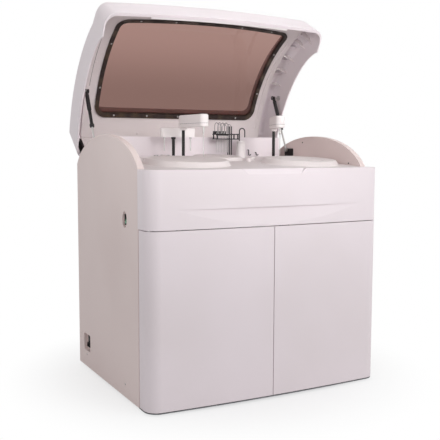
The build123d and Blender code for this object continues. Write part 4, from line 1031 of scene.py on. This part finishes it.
@dataclass(frozen=True)
class WashStation:
    """Nuts and hose loops of the wash head, and the trim of its tower."""

    needles: tuple[float, float] = (0.092, 0.128)
    pitch: tuple[float, float] = (0.016, 0.014)
    columns: int = 4
    plate_z: float = 1.015
    nut: Profile = ((0.0013, 0.0), (0.0048, 0.0), (0.0048, 0.005), (0.0013, 0.005))
    loops: tuple[float, ...] = (0.072, 0.084, 0.096, 0.108, 0.120)
    loop_z: float = 1.027
    loop_span: Point = (0.027, 0.012, 0.0)
    loop_rise: tuple[float, float] = (0.024, 0.027)
    loop_r: float = 0.0015
    tower: Point = (0.196, 0.144, 0.981)
    band: Profile = ((0.0198, 0.0), (0.0206, 0.0), (0.0206, 0.003), (0.0198, 0.003))

    def build(self) -> None:
        """Makes the pieces of the head and of the tower."""
        (x0, y0), (pitch_x, pitch_y) = self.needles, self.pitch
        middle = (self.columns - 1) / 2
        spots = [(x0 + (k - middle) * pitch_x, y0 + side * pitch_y / 2)
                 for k in range(self.columns) for side in (-1, 1)]
        nut = Shape.lathe(self.nut, 6, closed=True)
        nuts = joined([nut.at(Matrix.Translation((x, y, self.plate_z))) for x, y in spots])
        piece("needle_nuts", nuts, Look.BLACK_PLASTIC, "wash_head")
        bows = []
        for k, x in enumerate(self.loops):
            start = Vector((x, y0 + pitch_y / 2, self.loop_z))
            path = arch(start, start + Vector(self.loop_span), self.loop_rise[k % 2])
            bows.append(Shape.tube([*path], self.loop_r, 10))
        piece("hose_loops", joined(bows), Look.TUBE, "wash_head")
        band = Shape.lathe(self.band, 40, closed=True).at(Matrix.Translation(self.tower))
        piece("tower_band", band, Look.COVER, "cabinet")


@dataclass(frozen=True)
class Cabinet:
    """Screws of the side and rear panels, caps on the wings and the vents at the back."""

    half: float = 0.510
    inner: float = 0.485
    rear_y: float = 0.349
    screw: tuple[float, float] = (0.0042, 0.002)
    side_screws: Profile = ((0.241, 0.066), (-0.222, 0.062))
    rear_screws: Profile = ((0.46, 0.04), (0.46, 0.45), (0.46, 0.85), (0.0, 0.04), (0.0, 0.85))
    cap: Profile = ((0.0035, 0.0), (0.0035, 0.0006), (0.0025, 0.0012), (0.0002, 0.0013))
    wing_caps: Profile = ((0.072, 0.986), (-0.278, 0.897))
    vents: tuple[float, ...] = (-0.24, 0.24)
    vent_z: float = 0.16
    slats: int = 10
    slat: Point = (0.19, 0.007, 0.0034)
    slat_t: float = 0.0006
    slat_edge: float = 0.0003
    slat_pitch: float = 0.016

    def build(self) -> None:
        """Makes the pieces that stay with the cabinet."""
        head, cap = screw_head(*self.screw), Shape.lathe(self.cap, 20)
        sides = [turned_to((side * self.half, *spot), (side, 0, 0))
                 for side in (-1, 1) for spot in self.side_screws]
        piece("side_screws", joined([head.at(place) for place in sides]), Look.BRIGHT_STEEL, "cabinet")
        wings = [turned_to((side * self.inner, *spot), (-side, 0, 0))
                 for side in (-1, 1) for spot in self.wing_caps]
        piece("wing_caps", joined([cap.at(place) for place in wings]), Look.BLACK_PLASTIC, "cabinet")
        spots = {(side * x, z) for side in (-1, 1) for x, z in self.rear_screws}
        backs = [turned_to((x, self.rear_y, z), (0, 1, 0)) for x, z in sorted(spots)]
        piece("rear_screws", joined([head.at(place) for place in backs]), Look.BRIGHT_STEEL, "cabinet")
        flat = Shape.slab(rounded(*self.slat), self.slat_t, self.slat_edge)
        slat = flat.at(Matrix.Rotation(-math.pi / 2, 4, "X"))
        slats = [slat.at(Matrix.Translation((x, self.rear_y, self.vent_z + k * self.slat_pitch)))
                 for x in self.vents for k in range(self.slats)]
        piece("rear_vents", joined(slats), Look.BLACK_PLASTIC, "cabinet")


@dataclass(frozen=True)
class Interior:
    """Hoses of the supply bottles and the grille of the power unit, seen with the doors open."""

    caps: Profile = ((-0.3525, -0.198), (-0.1325, -0.198))
    cap_z: float = 0.373
    hose_rise: float = 0.44
    hose_end: tuple[float, float] = (0.30, 0.76)
    hose_bends: tuple[Point, ...] = ((0.02, 0.06, 0.50), (0.03, 0.30, 0.52), (0.03, 0.42, 0.60))
    hose_r: float = 0.004
    smoothing: int = 8
    grille: Point = (0.2425, -0.188, 0.106)
    slats: int = 8
    slat: Point = (0.22, 0.006, 0.0028)
    slat_t: float = 0.0008
    slat_edge: float = 0.0003
    slat_pitch: float = 0.014

    def hose(self, x: float, y: float) -> Shape:
        """Leads a hose up from a cap, back and up again behind the deck's wells.

        Args:
            x: Place of the cap across the cabinet.
            y: Its place from front to back.

        Returns:
            The hose.
        """
        bends = [Vector((x + across, y + back, z)) for across, back, z in self.hose_bends]
        end = Vector((bends[-1].x, *self.hose_end))
        corners = [Vector((x, y, self.cap_z)), Vector((x, y, self.hose_rise)), *bends, end]
        bent = [a.lerp(b, k / 6) for a, b in zip(corners, corners[1:]) for k in range(6)] + corners[-1:]
        for _ in range(self.smoothing):
            bent[1:-1] = [(a + b + c) / 3 for a, b, c in zip(bent, bent[1:], bent[2:])]
        return Shape.tube(bent, self.hose_r)

    def build(self) -> None:
        """Makes the hoses and the grille."""
        piece("supply_hoses", joined([self.hose(*spot) for spot in self.caps]), Look.TUBE, "cabinet")
        flat = Shape.slab(rounded(*self.slat), self.slat_t, self.slat_edge)
        slat = flat.at(Matrix.Rotation(math.pi / 2, 4, "X"))
        (x, y, z), middle = self.grille, (self.slats - 1) / 2
        heights = [z + (k - middle) * self.slat_pitch for k in range(self.slats)]
        slats = joined([slat.at(Matrix.Translation((x, y, height))) for height in heights])
        piece("power_grille", slats, Look.BLACK_PLASTIC, "cabinet")


@dataclass(frozen=True)
class Lamp:
    """Soft rectangular lamp."""

    name: str
    spot: Point
    aim: Point
    size: float
    watts: float
    spread: float = 180.0

    def build(self) -> None:
        """Places the lamp so that it shines at its aim."""
        data = bpy.data.lights.new(self.name, "AREA")
        data.energy, data.size, data.spread = self.watts, self.size, math.radians(self.spread)
        made = bpy.data.objects.new(self.name, data)
        made.matrix_world = turned_to(self.spot, Vector(self.spot) - Vector(self.aim))
        made.visible_camera = False
        bpy.context.scene.collection.objects.link(made)


@dataclass(frozen=True)
class Studio:
    """White room: lamps, an even sky and a pale floor that keeps the soft shadow."""

    lamps: tuple[Lamp, ...] = (
        Lamp("key", (2.4, -3.6, 2.6), (0.1, -0.1, 0.9), 2.4, 50.0),
        Lamp("front", (0.2, -3.4, 2.0), (0.0, 0.2, 1.32), 1.2, 2.0, spread=26.0),
        Lamp("cheek", (-2.6, -1.8, 1.5), (0.48, 0.1, 1.16), 0.8, 0.5, spread=22.0),
        Lamp("top", (0.2, -0.6, 4.0), (0.0, 0.0, 0.9), 2.6, 12.0),
    )
    sky: float = 0.61
    seen: float = 1.0
    floor_half: float = 9.0
    floor_colours: tuple[Rgb, Rgb] = ((240, 239, 240), (244, 243, 244))
    floor_glow: float = 0.62
    floor_near: float = 0.42
    floor_far: float = 0.95

    def build(self) -> None:
        """Makes the floor, the sky and the lamps."""
        scene = bpy.context.scene
        scene.view_settings.view_transform = "Standard"
        world = bpy.data.worlds.new("studio")
        world.use_nodes = True
        scene.world = world
        graph = Graph(world.node_tree)
        rays = [graph.node("ShaderNodeLightPath", out=name)
                for name in ("Is Camera Ray", "Is Glossy Ray", "Is Transmission Ray")]
        direct = rays[0] + rays[1] + rays[2]
        strength = self.sky + (self.seen - self.sky) * direct.ease(0.0, 1.0)
        sky = graph.node("ShaderNodeBackground", sockets={"Color": WHITE, "Strength": strength})
        graph.output("ShaderNodeOutputWorld", sky)
        self.floor()
        for lamp in self.lamps:
            lamp.build()

    def floor(self) -> None:
        """Makes the floor, which a camera sees as pure white away from the analyzer."""
        half = self.floor_half
        mesh = bpy.data.meshes.new("floor")
        corners = [(-half, -half, 0), (half, -half, 0), (half, half, 0), (-half, half, 0)]
        mesh.from_pydata(corners, [], [(0, 1, 2, 3)])
        made = bpy.data.objects.new("floor", mesh)
        bpy.context.scene.collection.objects.link(made)
        material = bpy.data.materials.new("studio_floor")
        material.use_nodes = True
        graph = Graph(material.node_tree)
        tone = graph.mix(graph.noise(0.8), *self.floor_colours)
        lit = graph.node("ShaderNodeBsdfDiffuse", sockets={"Color": tone})
        white = graph.node("ShaderNodeEmission", sockets={"Color": WHITE, "Strength": 1.0})
        away = graph.node("ShaderNodeVectorMath", {"operation": "LENGTH"}, {0: graph.place()}, out="Value")
        glow = self.floor_glow + (1.0 - self.floor_glow) * away.ease(self.floor_near, self.floor_far)
        share = glow * graph.node("ShaderNodeLightPath", out="Is Camera Ray")
        seen = graph.node("ShaderNodeMixShader", sockets={0: share, 1: lit, 2: white})
        graph.output("ShaderNodeOutputMaterial", seen)
        mesh.materials.append(material)


@dataclass(frozen=True)
class Camera:
    """The photograph's camera, from a perspective solve of the cabinet's edges."""

    spot: Point = (-1.5223, -2.9027, 0.9694)
    lens: float = 62.43
    yaw: float = math.radians(27.89)
    pitch: float = math.radians(-5.55)
    roll: float = math.radians(0.18)

    def build(self) -> None:
        """Places the camera and makes it the scene's."""
        data = bpy.data.cameras.new("camera")
        data.lens, data.sensor_width, data.clip_end = self.lens, 36.0, 60.0
        made = bpy.data.objects.new("camera", data)
        turn = Matrix.Rotation(-self.yaw, 4, "Z") @ Matrix.Rotation(math.pi / 2 + self.pitch, 4, "X")
        made.matrix_world = Matrix.Translation(self.spot) @ turn @ Matrix.Rotation(self.roll, 4, "Z")
        bpy.context.scene.collection.objects.link(made)
        bpy.context.scene.camera = made


def dress_frame(frame: dict[str, Any]) -> None:
    """Gives each CAD node the look of its slot in the record.
    """
    for part in frame["record"]["subparts"]:
        node = frame["nodes"][part["node"]]
        for holder in node.material_slots:
            holder.material = Look.of_slot(part["material_slot"]).made
        log.info("%s: %s", node.name, part["material_slot"])


def main() -> None:
    """Loads the frame, dresses it, adds the small pieces and lights them."""
    logging.basicConfig(level=logging.INFO, format="%(name)s %(message)s")
    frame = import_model()
    dress_frame(frame)
    front_arm = Arm("front", (-0.150, 0.022), (-0.145, -0.158))
    right_arm = Arm("right", (0.277, -0.008), (0.210, -0.166))
    on_top = (Lid(), LidBrow(), GasSprings(), Deck(), front_arm, right_arm, WashStation())
    for part in (*on_top, Cabinet(), Interior(), Studio(), Camera()):
        part.build()


if __name__ == "__main__":
    main()
